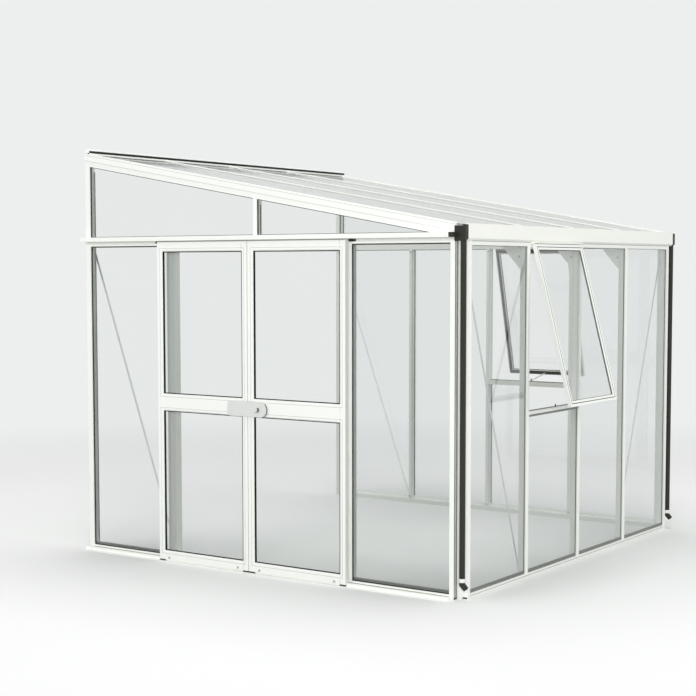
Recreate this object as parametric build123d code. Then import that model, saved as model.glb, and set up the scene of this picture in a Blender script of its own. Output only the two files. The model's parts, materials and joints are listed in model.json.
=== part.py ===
from build123d import *
import math
import os

# Lean-to greenhouse in white aluminium and clear glass.
# Setting-out frame while the pieces are made: X runs along the house wall from the door side,
# Y runs from the front face towards the wall, Z is up from the ground.
# The finished pieces are moved so that the origin is the middle of the footprint box.

# Overall sizes
length = 2960.0
depth = 2912.0
eaves_height = 2140.0
roof_pitch = 10.0
bays = 4

# Glass and glazing bars
glass = 3.0
edge_cover = 8.0
glass_play = 1.0
groove_room = 2.0
cap_width = 30.0
cap_proud = 12.0
cap_edge = 1.5
bar_depth = 56.0
web_width = 12.0
shoulder = 3.0
flange_width = 24.0

# Ground frame
base_height = 33.0
base_recess = 5.0
base_lip = 14.0
base_bead = 3.0
base_bead_rise = 22.0

# Corner and wall posts
corner_setback = 73.0
notch = 31.0
post_web = 6.0
wall_post_width = 42.0
wall_hole_radius = 4.5
wall_hole_spacing = 1500.0
wall_hole_height = 300.0

# Eaves gutter, front head and side head rails
gutter_rise = 3.0
gutter_height = 96.0
gutter_front = 14.0
gutter_wall = 3.0
gutter_lip = 8.0
gutter_bevel = 12.0
gutter_cap = 11.0
gutter_cap_drop = 12.0
gutter_cap_rise = 5.0
gutter_cap_bump = 16.0
gutter_cap_sleeve = 22.0
gutter_cap_wall = 2.0
sheet_room = 9.0
head_height = 25.0
rail_drop = 46.0
rail_height = 58.0

# Roof
rafter_depth = 82.0
rafter_step = 50.0
rafter_proud = 5.0
rafter_width = 44.0
rafter_lip = 8.0
rafter_tail = 10.0
roof_cap = 8.0
roof_bar_depth = 50.0
sheet_overhang = 18.0
ridge_width = 25.0
ridge_depth = 70.0
ridge_lip = 15.0
ridge_lip_thickness = 20.0
seal_thickness = 8.0

# Triangular plates between the front bars and the roof bars
gusset_reach = 219.0
gusset_drop = 210.0
gusset_thickness = 4.0
gusset_clip = 12.0

# Rainwater pipes
pipe_radius = 17.0
pipe_wall = 2.0
pipe_offset = 6.0
pipe_bottom = 112.0
elbow_drop = 12.0
elbow_reach = 26.0
clip_height = 22.0
clip_thickness = 2.0

# Diagonal braces
brace_width = 14.0
brace_thickness = 3.0
brace_inset = 14.0

# Top-hung windows
window_bay = 1
window_angle = 14.5
sash_gap = 16.0
sash_length = 1003.0
sash_thickness = 20.0
sash_bar = 34.0
sash_bead = 3.0
sash_stand = 4.0
sash_rise = 4.0
hinge_bar_height = 10.0
hinge_drop = 7.0
sill_gap = 9.0
sill_height = 30.0
stay_width = 16.0
stay_thickness = 4.0
seat_gap = 0.3

# Door jambs
jamb_reveal = 34.0
jamb_step = 2.0

# Sliding door leaves
leaf_thickness = 28.0
leaf_stand = 22.0
leaf_overlap = 28.5
leaf_shift = 24.0
leaf_gap = 6.0
leaf_bottom = 14.0
leaf_play = 4.0
leaf_bead = 6.0
stile = 42.0
top_rail = 64.0
bottom_rail = 58.0
middle_rail = 110.0
middle_rail_top = 1090.0

# Door track, hangers and floor guide
track_setback = 12.0
track_gap = 2.0
track_plug = 30.0
track_reach = 58.0
track_wall = 4.0
track_drop = 28.0
track_back = 46.0
ledge_drop = 26.0
ledge_width = 17.0
ledge_thickness = 2.0
wheel_radius = 8.0
wheel_width = 7.0
wheel_play = 0.3
wheel_inset = 2.0
hanger_width = 60.0
hanger_thickness = 4.0
hanger_inset = 110.0
axle_radius = 3.0
guide_fin = 4.0
guide_fin_height = 24.0
guide_groove = 14.0
guide_depth = 18.0

# Lock lever on the doors
lock_height = 94.0
lock_drop = 8.0
lock_reach_over = 148.0
lock_reach_own = 110.0
lock_stand = 6.0
lock_inset = 2.0
lock_thickness = 10.0
lock_corner = 24.0
knob_radius = 15.0
knob_length = 18.0
knob_shift = 26.0

# How far a cutting block runs past the faces that it cuts
past = 1.0
far_past = 500.0

# Heights that follow from the eaves
gutter_top = eaves_height + gutter_rise
gutter_bottom = gutter_top - gutter_height
head_bottom = gutter_bottom - head_height
rail_top = eaves_height - rail_drop
rail_bottom = rail_top - rail_height
hinge_height = gutter_bottom - hinge_bar_height - hinge_drop
sash_top = hinge_height + sash_rise
sill_top = sash_top - sash_length - sill_gap
sill_bottom = sill_top - sill_height
leaf_top = rail_top - track_drop - leaf_play
ledge_height = rail_top - ledge_drop

# Places that follow from the plan
slope = math.tan(math.radians(roof_pitch))
along = math.cos(math.radians(roof_pitch))
glass_in = cap_proud + glass
seat_depth = glass_in + glass_play
cap_half = cap_width / 2
web_half = web_width / 2
bar_play = web_half + glass_play
strip_end = corner_setback + cap_half
post_side = corner_setback - cap_half
wall_post_edge = depth - wall_post_width
wall_post_centre = depth - wall_post_width / 2
wall_glass_edge = wall_post_edge + edge_cover
front_bay = (length - 2 * corner_setback) / bays
side_bay = (wall_post_centre - corner_setback) / bays
ridge_front = depth - ridge_width
gutter_back = bar_depth
track_start = gutter_back + track_setback
leaf_width = side_bay + leaf_overlap - leaf_gap / 2
leaf_middle = -leaf_stand - leaf_thickness / 2
meeting_y = corner_setback + side_bay * bays / 2 + leaf_shift
sash_middle = -sash_stand - sash_thickness / 2


def box(x, y, z):
    """A box from three pairs of low and high values."""
    middle = [(pair[0] + pair[1]) / 2 for pair in (x, y, z)]
    sides = [abs(pair[1] - pair[0]) for pair in (x, y, z)]
    return Pos(*middle) * Box(*sides)


def rectangle(u, v):
    """A face from its low and high values across and up."""
    return Pos((u[0] + u[1]) / 2, (v[0] + v[1]) / 2) * Rectangle(u[1] - u[0], v[1] - v[0])


def face(*points):
    """A flat face with its corners at the points."""
    return make_face(Polyline(*points, close=True))


def sheet(points, plane, thickness):
    """A flat solid: the outline through the points, thickened along the plane's normal."""
    return extrude(plane * face(*points), thickness)


def run_x(profile, x0, x1):
    """A profile drawn in Y and Z, run along X."""
    place = Plane((x0, 0, 0), x_dir=(0, 1, 0), z_dir=(1, 0, 0))
    return extrude(place * profile, x1 - x0)


def run_y(profile, y0, y1):
    """A profile drawn in X and Z, run along Y."""
    place = Plane((0, y1, 0), x_dir=(1, 0, 0), z_dir=(0, -1, 0))
    return extrude(place * profile, y1 - y0)


def mirror_far(solid):
    """The same piece on the far side."""
    return mirror(solid, Plane.YZ.offset(length / 2))


def both_sides(solid):
    """A piece of the door side and its mirror image on the far side."""
    return [solid, mirror_far(solid)]


def roof_z(y, below=0.0):
    """Height of the roof's top plane at y, or of a plane that lies below it."""
    return eaves_height + y * slope - below / along


def above_roof(below):
    """Everything above a plane under the roof, used to cut uprights to the slope."""
    y0 = -far_past
    y1 = depth + far_past
    top = roof_z(y1) + far_past
    outline = [(y0, roof_z(y0, below)), (y1, roof_z(y1, below)), (y1, top), (y0, top)]
    return sheet(outline, Plane.YZ.offset(-far_past), length + 2 * far_past)


def front_x(index):
    """Setting-out line of a front bar."""
    return corner_setback + index * front_bay


def side_y(index):
    """Setting-out line of a bar in either gable."""
    return corner_setback + index * side_bay


def bar_section(inner, proud):
    """Glazing bar: bevelled outer cap, web, seat for the glass and inner flange."""
    seat = proud + glass + glass_play
    cap = face(
        (-cap_half, proud), (-cap_half, cap_edge), (cap_edge - cap_half, 0),
        (cap_half - cap_edge, 0), (cap_half, cap_edge), (cap_half, proud),
    )
    web = rectangle((-web_half, web_half), (0, inner))
    ledge = rectangle((-cap_half, cap_half), (seat, seat + shoulder))
    flange = rectangle((-flange_width / 2, flange_width / 2), (inner - shoulder, inner))
    return cap + web + ledge + flange


def upright_front(x, z0, z1):
    """A glazing bar standing in the front."""
    return extrude(Plane((x, 0, z0)) * bar_section(bar_depth, cap_proud), z1 - z0)


def upright_side(y, z0, z1):
    """A glazing bar standing in the door-side gable, its cap facing the outside."""
    place = Plane((0, y, z0), x_dir=(0, -1, 0), z_dir=(0, 0, 1))
    return extrude(place * bar_section(bar_depth, cap_proud), z1 - z0)


def base_outline():
    """Ground frame: recessed foot, outer face and a groove for the glass."""
    foot = rectangle((base_recess, bar_depth), (0, base_height))
    front = rectangle((0, bar_depth), (base_lip, base_height))
    bottom = base_height - edge_cover - groove_room
    groove = rectangle((cap_proud, seat_depth), (bottom, base_height + past))
    return foot + front - groove


def base_bead_outline():
    """Upstand behind the glass."""
    return rectangle((seat_depth, seat_depth + base_bead), (base_height, base_height + base_bead_rise))


def base_front():
    """Front ground bar with an upstand in each bay."""
    bar = run_x(base_outline(), strip_end, length - strip_end)
    for index in range(bays):
        bar += run_x(base_bead_outline(), front_x(index) + cap_half, front_x(index + 1) - cap_half)
    return bar


def base_side(glazed_bays):
    """Ground bar of a gable, with an upstand in the bays that have fixed glass."""
    bar = run_y(base_outline(), strip_end, wall_post_edge)
    for index in glazed_bays:
        end = wall_post_edge if index == bays - 1 else side_y(index + 1) - cap_half
        bar += run_y(base_bead_outline(), side_y(index) + cap_half, end)
    return bar


def base_sides():
    return [base_side((0, bays - 1)), mirror_far(base_side(range(bays)))]


def corner_post():
    """Re-entrant corner: a strip in the front, a strip in the gable and a stepped web between."""
    web = corner_setback + web_half
    flange = post_side + post_web
    bend = notch + post_web
    front_half = [
        (notch, notch), (post_side, notch), (post_side, 0), (strip_end, 0),
        (strip_end, cap_proud), (web, cap_proud), (web, seat_depth), (strip_end, seat_depth),
        (strip_end, bar_depth), (flange, bar_depth), (flange, bend), (bend, bend),
    ]
    side_half = [(y, x) for x, y in reversed(front_half)]
    top = roof_z(strip_end)
    post = sheet(front_half + side_half[1:-1], Plane.XY, top)
    gutter_space = box((-past, length), (-past, gutter_back), (gutter_bottom, top + past))
    return post - gutter_space - above_roof(rafter_depth)


def wall_post():
    """Post against the house wall, with the holes for its wall screws."""
    height = (0, roof_z(depth))
    post = box((0, bar_depth), (wall_glass_edge + glass_play, depth), height)
    post += box((0, cap_proud), (wall_post_edge, depth), height)
    post += box((seat_depth, seat_depth + shoulder), (wall_post_edge, depth), height)
    for level in (wall_hole_height, wall_hole_height + wall_hole_spacing):
        hole = Cylinder(wall_hole_radius, 2 * wall_post_width + past, rotation=(90, 0, 0))
        post -= Pos(bar_depth / 2, depth, level) * hole
    return post - above_roof(rafter_depth)


def front_bars():
    return [upright_front(front_x(i), base_height, head_bottom) for i in range(1, bays)]


def door_jamb(index, side):
    """Glazing bar with a wide face on the opening's side; side points to the opening along Y."""
    y = side_y(index)
    reach = sorted((y + side * web_half, y + side * (cap_half + jamb_reveal)))
    reveal = box((jamb_step, bar_depth), reach, (base_height, rail_bottom))
    return upright_side(y, base_height, rail_bottom) + reveal


def door_jambs():
    return [door_jamb(1, 1), door_jamb(bays - 1, -1)]


def far_bars():
    return [mirror_far(upright_side(side_y(i), base_height, rail_bottom)) for i in range(1, bays)]


def gable_mullion():
    """Short upright between the head rail and the rafter."""
    middle = side_y(bays / 2)
    upright = upright_side(middle, rail_top, roof_z(middle + cap_width))
    return upright - above_roof(rafter_depth)


def glass_groove(v0, v1):
    """Groove for the edge of a fixed pane, in a head or a sill."""
    return rectangle((cap_proud, seat_depth), (v0, v1))


def head_outline(bottom, height):
    """Head or sill profile with a groove for the glass below."""
    block = rectangle((0, bar_depth), (bottom, bottom + height))
    return block - glass_groove(bottom - past, bottom + edge_cover + groove_room)


def front_head():
    return run_x(head_outline(head_bottom, head_height), strip_end, length - strip_end)


def side_head_rail():
    """Rail at eaves height in a gable, between the corner post and the wall post."""
    outline = head_outline(rail_bottom, rail_height)
    outline -= glass_groove(rail_top - edge_cover - groove_room, rail_top + past)
    return run_y(outline, strip_end, wall_post_edge) - above_roof(rafter_depth)


def slope_plane(x):
    """Plane across the roof slope at the gutter's back: u runs along X, v runs down."""
    normal = (0, along, math.sin(math.radians(roof_pitch)))
    return Plane((x, gutter_back, roof_z(gutter_back)), x_dir=(1, 0, 0), z_dir=normal)


def slope_run(profile, x, y_end):
    """A profile run up the roof slope, cut upright at the gutter and at its upper end."""
    extra = 2 * rafter_depth
    outline = slope_plane(x) * profile
    run = extrude(outline, (depth + 2 * extra) / along) + extrude(outline, -extra)
    keep = box((-length, 2 * length), (gutter_back, y_end), (0, 2 * eaves_height))
    return run & keep


def rafter():
    """Gable rafter: stepped outer face, roof glass pocket on top and gable glass pocket below."""
    seat = roof_cap + glass + glass_play
    profile = rectangle((0, cap_proud), (0, rafter_depth))
    profile += rectangle((-rafter_proud, cap_proud), (0, rafter_step))
    profile += rectangle((0, cap_width), (0, roof_cap))
    profile += rectangle((cap_proud, rafter_width), (seat, rafter_depth - edge_cover - rafter_tail))
    profile += rectangle((seat_depth, seat_depth + rafter_lip), (rafter_step, rafter_depth))
    return slope_run(profile, 0, depth)


def roof_bars():
    profile = bar_section(roof_bar_depth, roof_cap)
    return [slope_run(profile, front_x(i), ridge_front) for i in range(1, bays)]


def eaves_gusset(x):
    """Triangular plate with cut corners between a front bar and the roof bar above it."""
    inner = bar_depth
    tip = inner + gusset_reach
    low = roof_z(inner, roof_bar_depth) - gusset_drop
    outline = [
        (inner, low), (inner, roof_z(inner, roof_bar_depth)), (tip, roof_z(tip, roof_bar_depth)),
        (tip, roof_z(tip, roof_bar_depth) - gusset_clip), (inner + gusset_clip, low),
    ]
    return sheet(outline, Plane.YZ.offset(x - gusset_thickness / 2), gusset_thickness)


def eaves_gussets():
    return [eaves_gusset(front_x(i)) for i in range(1, bays)]


def ridge_profile():
    """Beam on the house wall that carries the roof bars, with a lip over the seal."""
    over = seal_thickness + ridge_lip_thickness
    edge = ridge_front - ridge_lip
    underside = roof_z(ridge_front, ridge_depth)
    body = [
        (ridge_front, underside), (depth, underside),
        (depth, roof_z(depth, -over)), (ridge_front, roof_z(ridge_front, -over)),
    ]
    lip = [
        (edge, roof_z(edge, -seal_thickness)), (depth, roof_z(depth, -seal_thickness)),
        (depth, roof_z(depth, -over)), (edge, roof_z(edge, -over)),
    ]
    beam = sheet(body, Plane.YZ.offset(rafter_width), length - 2 * rafter_width)
    return beam + sheet(lip, Plane.YZ, length)


def ridge_seal():
    """Black rubber strip between the ridge lip and the roof bars."""
    edge = ridge_front - ridge_lip
    outline = [
        (edge, roof_z(edge)), (ridge_front, roof_z(ridge_front)),
        (ridge_front, roof_z(ridge_front, -seal_thickness)), (edge, roof_z(edge, -seal_thickness)),
    ]
    return sheet(outline, Plane.YZ, length)


def gutter():
    """Open eaves gutter: bevelled front corner, folded lip on top and a back upstand."""
    rim = gutter_back - gutter_wall
    back_top = roof_z(gutter_back, roof_cap + glass + sheet_room)
    inner_bevel = gutter_bevel + gutter_wall / 2
    profile = face(
        (gutter_bevel - gutter_front, gutter_bottom), (-gutter_front, gutter_bottom + gutter_bevel),
        (-gutter_front, gutter_top), (gutter_lip - gutter_front, gutter_top),
        (gutter_lip - gutter_front, gutter_top - gutter_wall),
        (gutter_wall - gutter_front, gutter_top - gutter_wall),
        (gutter_wall - gutter_front, gutter_bottom + inner_bevel),
        (inner_bevel - gutter_front, gutter_bottom + gutter_wall),
        (rim, gutter_bottom + gutter_wall), (rim, back_top),
        (gutter_back, back_top), (gutter_back, gutter_bottom),
    )
    return run_x(profile, 0, length)


def gutter_end():
    """Black end cup over the downpipe: a plate with a raised front corner and a short sleeve."""
    front = -gutter_front - gutter_cap_wall
    bottom = gutter_bottom - gutter_cap_wall
    knee = gutter_bottom + gutter_bevel
    toe = gutter_bevel - gutter_front
    top = gutter_top - gutter_cap_drop
    bump = top + gutter_cap_rise
    plate = face(
        (toe, bottom), (front, knee), (front, bump), (front + gutter_cap_bump, bump),
        (front + gutter_cap_bump + gutter_cap_rise, top), (gutter_back, top), (gutter_back, bottom),
    )
    heel = pipe_offset + pipe_radius
    sleeve = face(
        (toe, bottom), (front, knee), (front, bump), (-gutter_front, bump), (-gutter_front, knee),
        (toe, gutter_bottom), (heel, gutter_bottom), (heel, bottom),
    )
    return run_x(plate, -gutter_cap, 0) + run_x(sleeve, 0, gutter_cap_sleeve)


def pipe_ring():
    """Cross-section of the rainwater pipe."""
    return Circle(pipe_radius) - Circle(pipe_radius - pipe_wall)


def downpipe():
    place = Plane((pipe_offset, pipe_offset, pipe_bottom))
    return extrude(place * pipe_ring(), gutter_bottom - gutter_cap_wall - pipe_bottom)


def pipe_elbow():
    """Mitred bend at the foot of a downpipe that throws the water out to the front."""
    top = Vector(pipe_offset, pipe_offset, pipe_bottom)
    bend = top - Vector(0, 0, elbow_drop)
    outlet = bend - Vector(0, elbow_reach, elbow_reach)
    path = Polyline(top, bend, outlet)
    start = Plane(top, z_dir=(0, 0, -1))
    return sweep(start * pipe_ring(), path, transition=Transition.RIGHT)


def pipe_clip():
    """Clear band around the foot of the pipe with a tail that reaches the post."""
    high = (pipe_bottom, pipe_bottom + clip_height)
    place = Plane((pipe_offset, pipe_offset, pipe_bottom))
    band = extrude(place * Circle(pipe_radius + clip_thickness), clip_height)
    tail = box((pipe_offset, notch), (pipe_offset - clip_thickness, pipe_offset + clip_thickness), high)
    bore = extrude(place * Circle(pipe_radius), clip_height)
    return band + tail - bore


def brace(start, end, across):
    """Flat diagonal strip between two points, laid flat against the bars."""
    run = end - start
    place = Plane((start + end) / 2, x_dir=across, z_dir=run)
    return extrude(place * Rectangle(brace_thickness, brace_width), run.length / 2, both=True)


def braces():
    """One in each gable beside the wall post and one at each end of the front."""
    inside = bar_depth + brace_thickness / 2
    low = base_height + brace_inset
    high = rail_bottom - brace_inset
    top = head_bottom - brace_inset
    gable = brace(
        Vector(inside, wall_post_centre, high), Vector(inside, side_y(bays - 1), low), (1, 0, 0)
    )
    front = brace(
        Vector(corner_setback, inside, top), Vector(front_x(1), inside, low), (0, 1, 0)
    )
    return both_sides(gable) + both_sides(front)


def bay_span(low, high):
    """Edges of the glass between two setting-out lines."""
    return low + bar_play, high - bar_play


def side_span(index):
    """Edges of the glass in one gable bay."""
    low, high = bay_span(side_y(index), side_y(index + 1))
    return low, wall_glass_edge if index == bays - 1 else high


def pane_top(index, head):
    """Top of the fixed glass in a bay: under the sill in a window bay, else in the head."""
    return (sill_bottom if index == window_bay else head) + edge_cover


def front_panes():
    low = base_height - edge_cover
    panes = []
    for index in range(bays):
        across = bay_span(front_x(index), front_x(index + 1))
        panes.append(box(across, (cap_proud, glass_in), (low, pane_top(index, head_bottom))))
    return panes


def side_pane(index, top):
    """A fixed pane in a bay of the door-side gable."""
    return box((cap_proud, glass_in), side_span(index), (base_height - edge_cover, top))


def door_side_panes():
    return [side_pane(index, rail_bottom + edge_cover) for index in (0, bays - 1)]


def far_side_panes():
    return [mirror_far(side_pane(index, pane_top(index, rail_bottom))) for index in range(bays)]


def gable_top_panes():
    """Two panes between the head rail and the rafter, the front one cut to a point."""
    low = rail_top - edge_cover
    under = rafter_depth - edge_cover
    near = side_y(bays / 2) - bar_play
    beyond = side_y(bays / 2) + bar_play
    tip = (low - roof_z(0, under)) / slope
    front_outline = [(tip, low), (near, low), (near, roof_z(near, under))]
    back_outline = [
        (beyond, low), (wall_glass_edge, low),
        (wall_glass_edge, roof_z(wall_glass_edge, under)), (beyond, roof_z(beyond, under)),
    ]
    place = Plane.YZ.offset(cap_proud)
    return [sheet(front_outline, place, glass), sheet(back_outline, place, glass)]


def roof_panes():
    """Four roof sheets that run from the ridge to just past the gutter's back."""
    low = gutter_back - sheet_overhang
    outline = [
        (low, roof_z(low, roof_cap + glass)), (ridge_front, roof_z(ridge_front, roof_cap + glass)),
        (ridge_front, roof_z(ridge_front, roof_cap)), (low, roof_z(low, roof_cap)),
    ]
    panes = []
    for index in range(bays):
        x0, x1 = bay_span(front_x(index), front_x(index + 1))
        x0 = cap_proud + glass_play if index == 0 else x0
        x1 = length - cap_proud - glass_play if index == bays - 1 else x1
        panes.append(sheet(outline, Plane.YZ.offset(x0), x1 - x0))
    return panes


def beaded_bar(width, thickness, bead):
    """Frame bar from its outer edge to the glass: bevelled beads and a groove for the pane."""
    outline = face(
        (0, 0), (width - bead, 0), (width, bead), (width, thickness - bead),
        (width - bead, thickness), (0, thickness),
    )
    middle = thickness / 2
    groove = (middle - glass / 2, middle + glass / 2)
    return outline - rectangle((width - edge_cover - glass_play, width + past), groove)


def turned(profile, angle):
    """A profile turned about its own origin."""
    return Rot(0, 0, angle) * profile


def hang(piece):
    """Swing a closed sash piece out about its hinge line."""
    to_hinge = Pos(0, -sash_middle, -hinge_height)
    return Pos(0, sash_middle, hinge_height) * (Rot(-window_angle, 0, 0) * (to_hinge * piece))


def sash_half(width):
    """Half the width of the sash that fits a bay."""
    return width / 2 - cap_half - sash_gap


def sash_stiles(width):
    """The two upright bars of a window sash."""
    half = sash_half(width)
    bottom = sash_top - sash_length
    profile = beaded_bar(sash_bar, sash_thickness, sash_bead)
    left = extrude(Plane((-half, -sash_stand - sash_thickness, bottom)) * profile, sash_length)
    return [hang(left), hang(mirror(left, Plane.YZ))]


def sash_rails(width):
    """The bottom and top bars of a window sash, between its stiles."""
    half = sash_half(width) - sash_bar
    profile = beaded_bar(sash_bar, sash_thickness, sash_bead)
    bottom = Pos(-sash_stand, sash_top - sash_length) * turned(profile, 90)
    top = Pos(-sash_stand - sash_thickness, sash_top) * turned(profile, -90)
    return [hang(run_x(outline, -half, half)) for outline in (bottom, top)]


def sash_pane(width):
    """The glass of a window sash."""
    half = sash_half(width) - sash_bar + edge_cover
    inset = sash_bar - edge_cover
    thick = (sash_middle - glass / 2, sash_middle + glass / 2)
    return hang(box((-half, half), thick, (sash_top - sash_length + inset, sash_top - inset)))


def sill(width):
    """Sill bar of a window, centred on X, with a groove below for the lower pane."""
    half = width / 2 - cap_half
    return run_x(head_outline(sill_bottom, sill_height), -half, half)


def hinge_bar(width):
    """Bar under the gutter that the sash hangs from."""
    half = width / 2 - cap_half - sash_gap / 2
    out = sash_stand + sash_thickness
    return box((-half, half), (-out, 0), (gutter_bottom - hinge_bar_height, gutter_bottom))


def stay(width):
    """Stay arm from the sill to the sash's bottom bar."""
    swing = math.radians(window_angle)
    arm = sash_length - sash_rise - sash_bar / 2
    inner = sash_thickness / 2 + seat_gap
    end = Vector(
        0,
        sash_middle - arm * math.sin(swing) + inner * math.cos(swing),
        hinge_height - arm * math.cos(swing) - inner * math.sin(swing),
    )
    start = Vector(0, cap_proud, sill_top + stay_thickness / 2)
    run = end - start
    place = Plane((start + end) / 2, x_dir=(1, 0, 0), z_dir=run)
    return extrude(place * Rectangle(stay_width, stay_thickness), run.length / 2, both=True)


def to_front(piece):
    """Move a window piece into its front bay."""
    return Pos(front_x(window_bay + 0.5), 0, 0) * piece


def to_far_side(piece):
    """Move a window piece into its bay of the far gable."""
    return Pos(length, side_y(window_bay + 0.5), 0) * (Rot(0, 0, 90) * piece)


def in_both_windows(make):
    """The solids of a window piece, made for the front bay and for the far side's bay."""
    solids = []
    for width, move in ((front_bay, to_front), (side_bay, to_far_side)):
        made = make(width)
        solids.extend(move(piece) for piece in (made if isinstance(made, list) else [made]))
    return solids


def door_track():
    """Hooded top track with the ledge that the wheels run on."""
    back = rectangle((-track_wall, 0), (rail_top - track_back, rail_top))
    hood = rectangle((-track_reach, 0), (rail_top - track_wall, rail_top))
    lip = rectangle((-track_reach, track_wall - track_reach), (rail_top - track_drop, rail_top))
    ledge = rectangle((-ledge_width, 0), (ledge_height - ledge_thickness, ledge_height))
    return run_y(back + hood + lip + ledge, track_start, depth)


def track_end_plug():
    """Black plug in the open end of the top track."""
    across = (-track_reach, -gutter_cap - track_gap)
    return box(across, (track_start - track_plug, track_start), (rail_top - track_drop, rail_top))


def door_guide():
    """Floor guide: a flat strip with a fin that runs in the grooves of the leaves."""
    strip = rectangle((-track_reach, 0), (0, track_wall))
    fin = rectangle((leaf_middle - guide_fin / 2, leaf_middle + guide_fin / 2), (0, guide_fin_height))
    return run_y(strip + fin, track_start, depth)


def leaf_span(side):
    """Y edges of a closed leaf; side is 1 for the wall-side leaf and -1 for the other."""
    near = meeting_y + side * leaf_gap / 2
    return sorted((near, near + side * leaf_width))


def guide_slot(y0, y1):
    """The room for the guide's fin under a leaf."""
    across = (leaf_middle - guide_groove / 2, leaf_middle + guide_groove / 2)
    return box(across, (y0 - past, y1 + past), (leaf_bottom - past, leaf_bottom + guide_depth))


def leaf_stiles(side):
    """The two upright bars of a door leaf."""
    y0, y1 = leaf_span(side)
    profile = beaded_bar(stile, leaf_thickness, leaf_bead)
    near = Plane((-leaf_stand, y0, leaf_bottom), x_dir=(0, 1, 0), z_dir=(0, 0, 1))
    bar = extrude(near * profile, leaf_top - leaf_bottom)
    other = mirror(bar, Plane.XZ.offset(-(y0 + y1) / 2))
    return [piece - guide_slot(y0, y1) for piece in (bar, other)]


def leaf_rails(side):
    """The bottom, middle and top bars of a door leaf, between its stiles."""
    y0, y1 = leaf_span(side)
    low, high = y0 + stile, y1 - stile
    bottom = Pos(-leaf_stand, leaf_bottom) * turned(
        beaded_bar(bottom_rail, leaf_thickness, leaf_bead), 90)
    top = Pos(-leaf_stand - leaf_thickness, leaf_top) * turned(
        beaded_bar(top_rail, leaf_thickness, leaf_bead), -90)
    half_rail = beaded_bar(middle_rail / 2, leaf_thickness, leaf_bead)
    middle_z = middle_rail_top - middle_rail / 2
    upper = Pos(-leaf_stand, middle_z) * turned(half_rail, 90)
    lower = Pos(-leaf_stand - leaf_thickness, middle_z) * turned(half_rail, -90)
    rails = [run_y(outline, low, high) for outline in (bottom, upper + lower, top)]
    return [rails[0] - guide_slot(y0, y1), rails[1], rails[2]]


def leaf_panes(side):
    """The lower and upper glass of a door leaf."""
    y0, y1 = leaf_span(side)
    edges = (y0 + stile - edge_cover, y1 - stile + edge_cover)
    x = (leaf_middle - glass / 2, leaf_middle + glass / 2)
    low = (leaf_bottom + bottom_rail - edge_cover, middle_rail_top - middle_rail + edge_cover)
    high = (middle_rail_top - edge_cover, leaf_top - top_rail + edge_cover)
    return [box(x, edges, low), box(x, edges, high)]


def leaf_hanger(y):
    """Bracket on top of a leaf with a wheel on the track's ledge."""
    plate_x = (-leaf_stand - hanger_thickness, -leaf_stand)
    wheel_x = -ledge_width / 2 - wheel_inset
    axle_z = ledge_height + wheel_radius + wheel_play
    half = hanger_width / 2
    plate = box(plate_x, (y - half, y + half), (leaf_top, axle_z + 2 * axle_radius))
    wheel = Pos(wheel_x, y, axle_z) * Cylinder(wheel_radius, wheel_width, rotation=(0, 90, 0))
    axle = Cylinder(axle_radius, wheel_x - plate_x[0], rotation=(0, 90, 0))
    return plate + wheel + Pos((wheel_x + plate_x[0]) / 2, y, axle_z) * axle


def leaf_hangers(side):
    y0, y1 = leaf_span(side)
    return [leaf_hanger(y) for y in (y0 + hanger_inset, y1 - hanger_inset)]


def lock_lever():
    """Rounded lever that reaches over the other leaf, on a round boss, with a knob."""
    y = meeting_y - lock_reach_own
    z = middle_rail_top - middle_rail / 2 - lock_drop
    out = -leaf_stand - leaf_thickness
    reach = lock_reach_own + lock_reach_over
    half = lock_height / 2
    slab = Rectangle(reach, lock_height)
    slab = Pos(-reach / 2, 0) * fillet(slab.vertices(), lock_corner)
    plate = slab + Circle(half) + Pos(-half, 0) * Rectangle(lock_height, lock_height)
    base = Plane((out, y, z), x_dir=(0, -1, 0), z_dir=(-1, 0, 0))
    boss = extrude(base * Circle(half - lock_inset), lock_stand)
    lever = extrude(base.offset(lock_stand) * plate, lock_thickness)
    knob_face = base.offset(lock_stand + lock_thickness) * Pos(-knob_shift, 0)
    return boss + lever + extrude(knob_face * Circle(knob_radius), knob_length)


def frame_pieces():
    """Ground frame, posts, bars, heads, roof frame and braces."""
    return {
        "base_front": base_front(),
        "base_sides": base_sides(),
        "corner_posts": both_sides(corner_post()),
        "wall_posts": both_sides(wall_post()),
        "front_bars": front_bars(),
        "door_jambs": door_jambs(),
        "far_bars": far_bars(),
        "front_head": front_head(),
        "head_rails": both_sides(side_head_rail()),
        "gable_mullions": both_sides(gable_mullion()),
        "rafters": both_sides(rafter()),
        "roof_bars": roof_bars(),
        "ridge_profile": ridge_profile(),
        "ridge_seal": ridge_seal(),
        "eaves_gussets": eaves_gussets(),
        "braces": braces(),
    }


def rainwater_pieces():
    """Gutter with its ends and the two downpipes."""
    return {
        "gutter": gutter(),
        "gutter_ends": both_sides(gutter_end()),
        "downpipes": both_sides(downpipe()),
        "pipe_elbows": both_sides(pipe_elbow()),
        "pipe_clips": both_sides(pipe_clip()),
    }


def glass_pieces():
    """Fixed glass of the front, the two sides and the roof."""
    return {
        "front_panes": front_panes(),
        "door_side_panes": door_side_panes(),
        "far_side_panes": far_side_panes(),
        "gable_top_panes": [copy for pane in gable_top_panes() for copy in both_sides(pane)],
        "roof_panes": roof_panes(),
    }


def window_pieces():
    """The two top-hung windows."""
    return {
        "window_sills": in_both_windows(sill),
        "window_hinge_bars": in_both_windows(hinge_bar),
        "window_stiles": in_both_windows(sash_stiles),
        "window_rails": in_both_windows(sash_rails),
        "window_panes": in_both_windows(sash_pane),
        "window_stays": in_both_windows(stay),
    }


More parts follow.
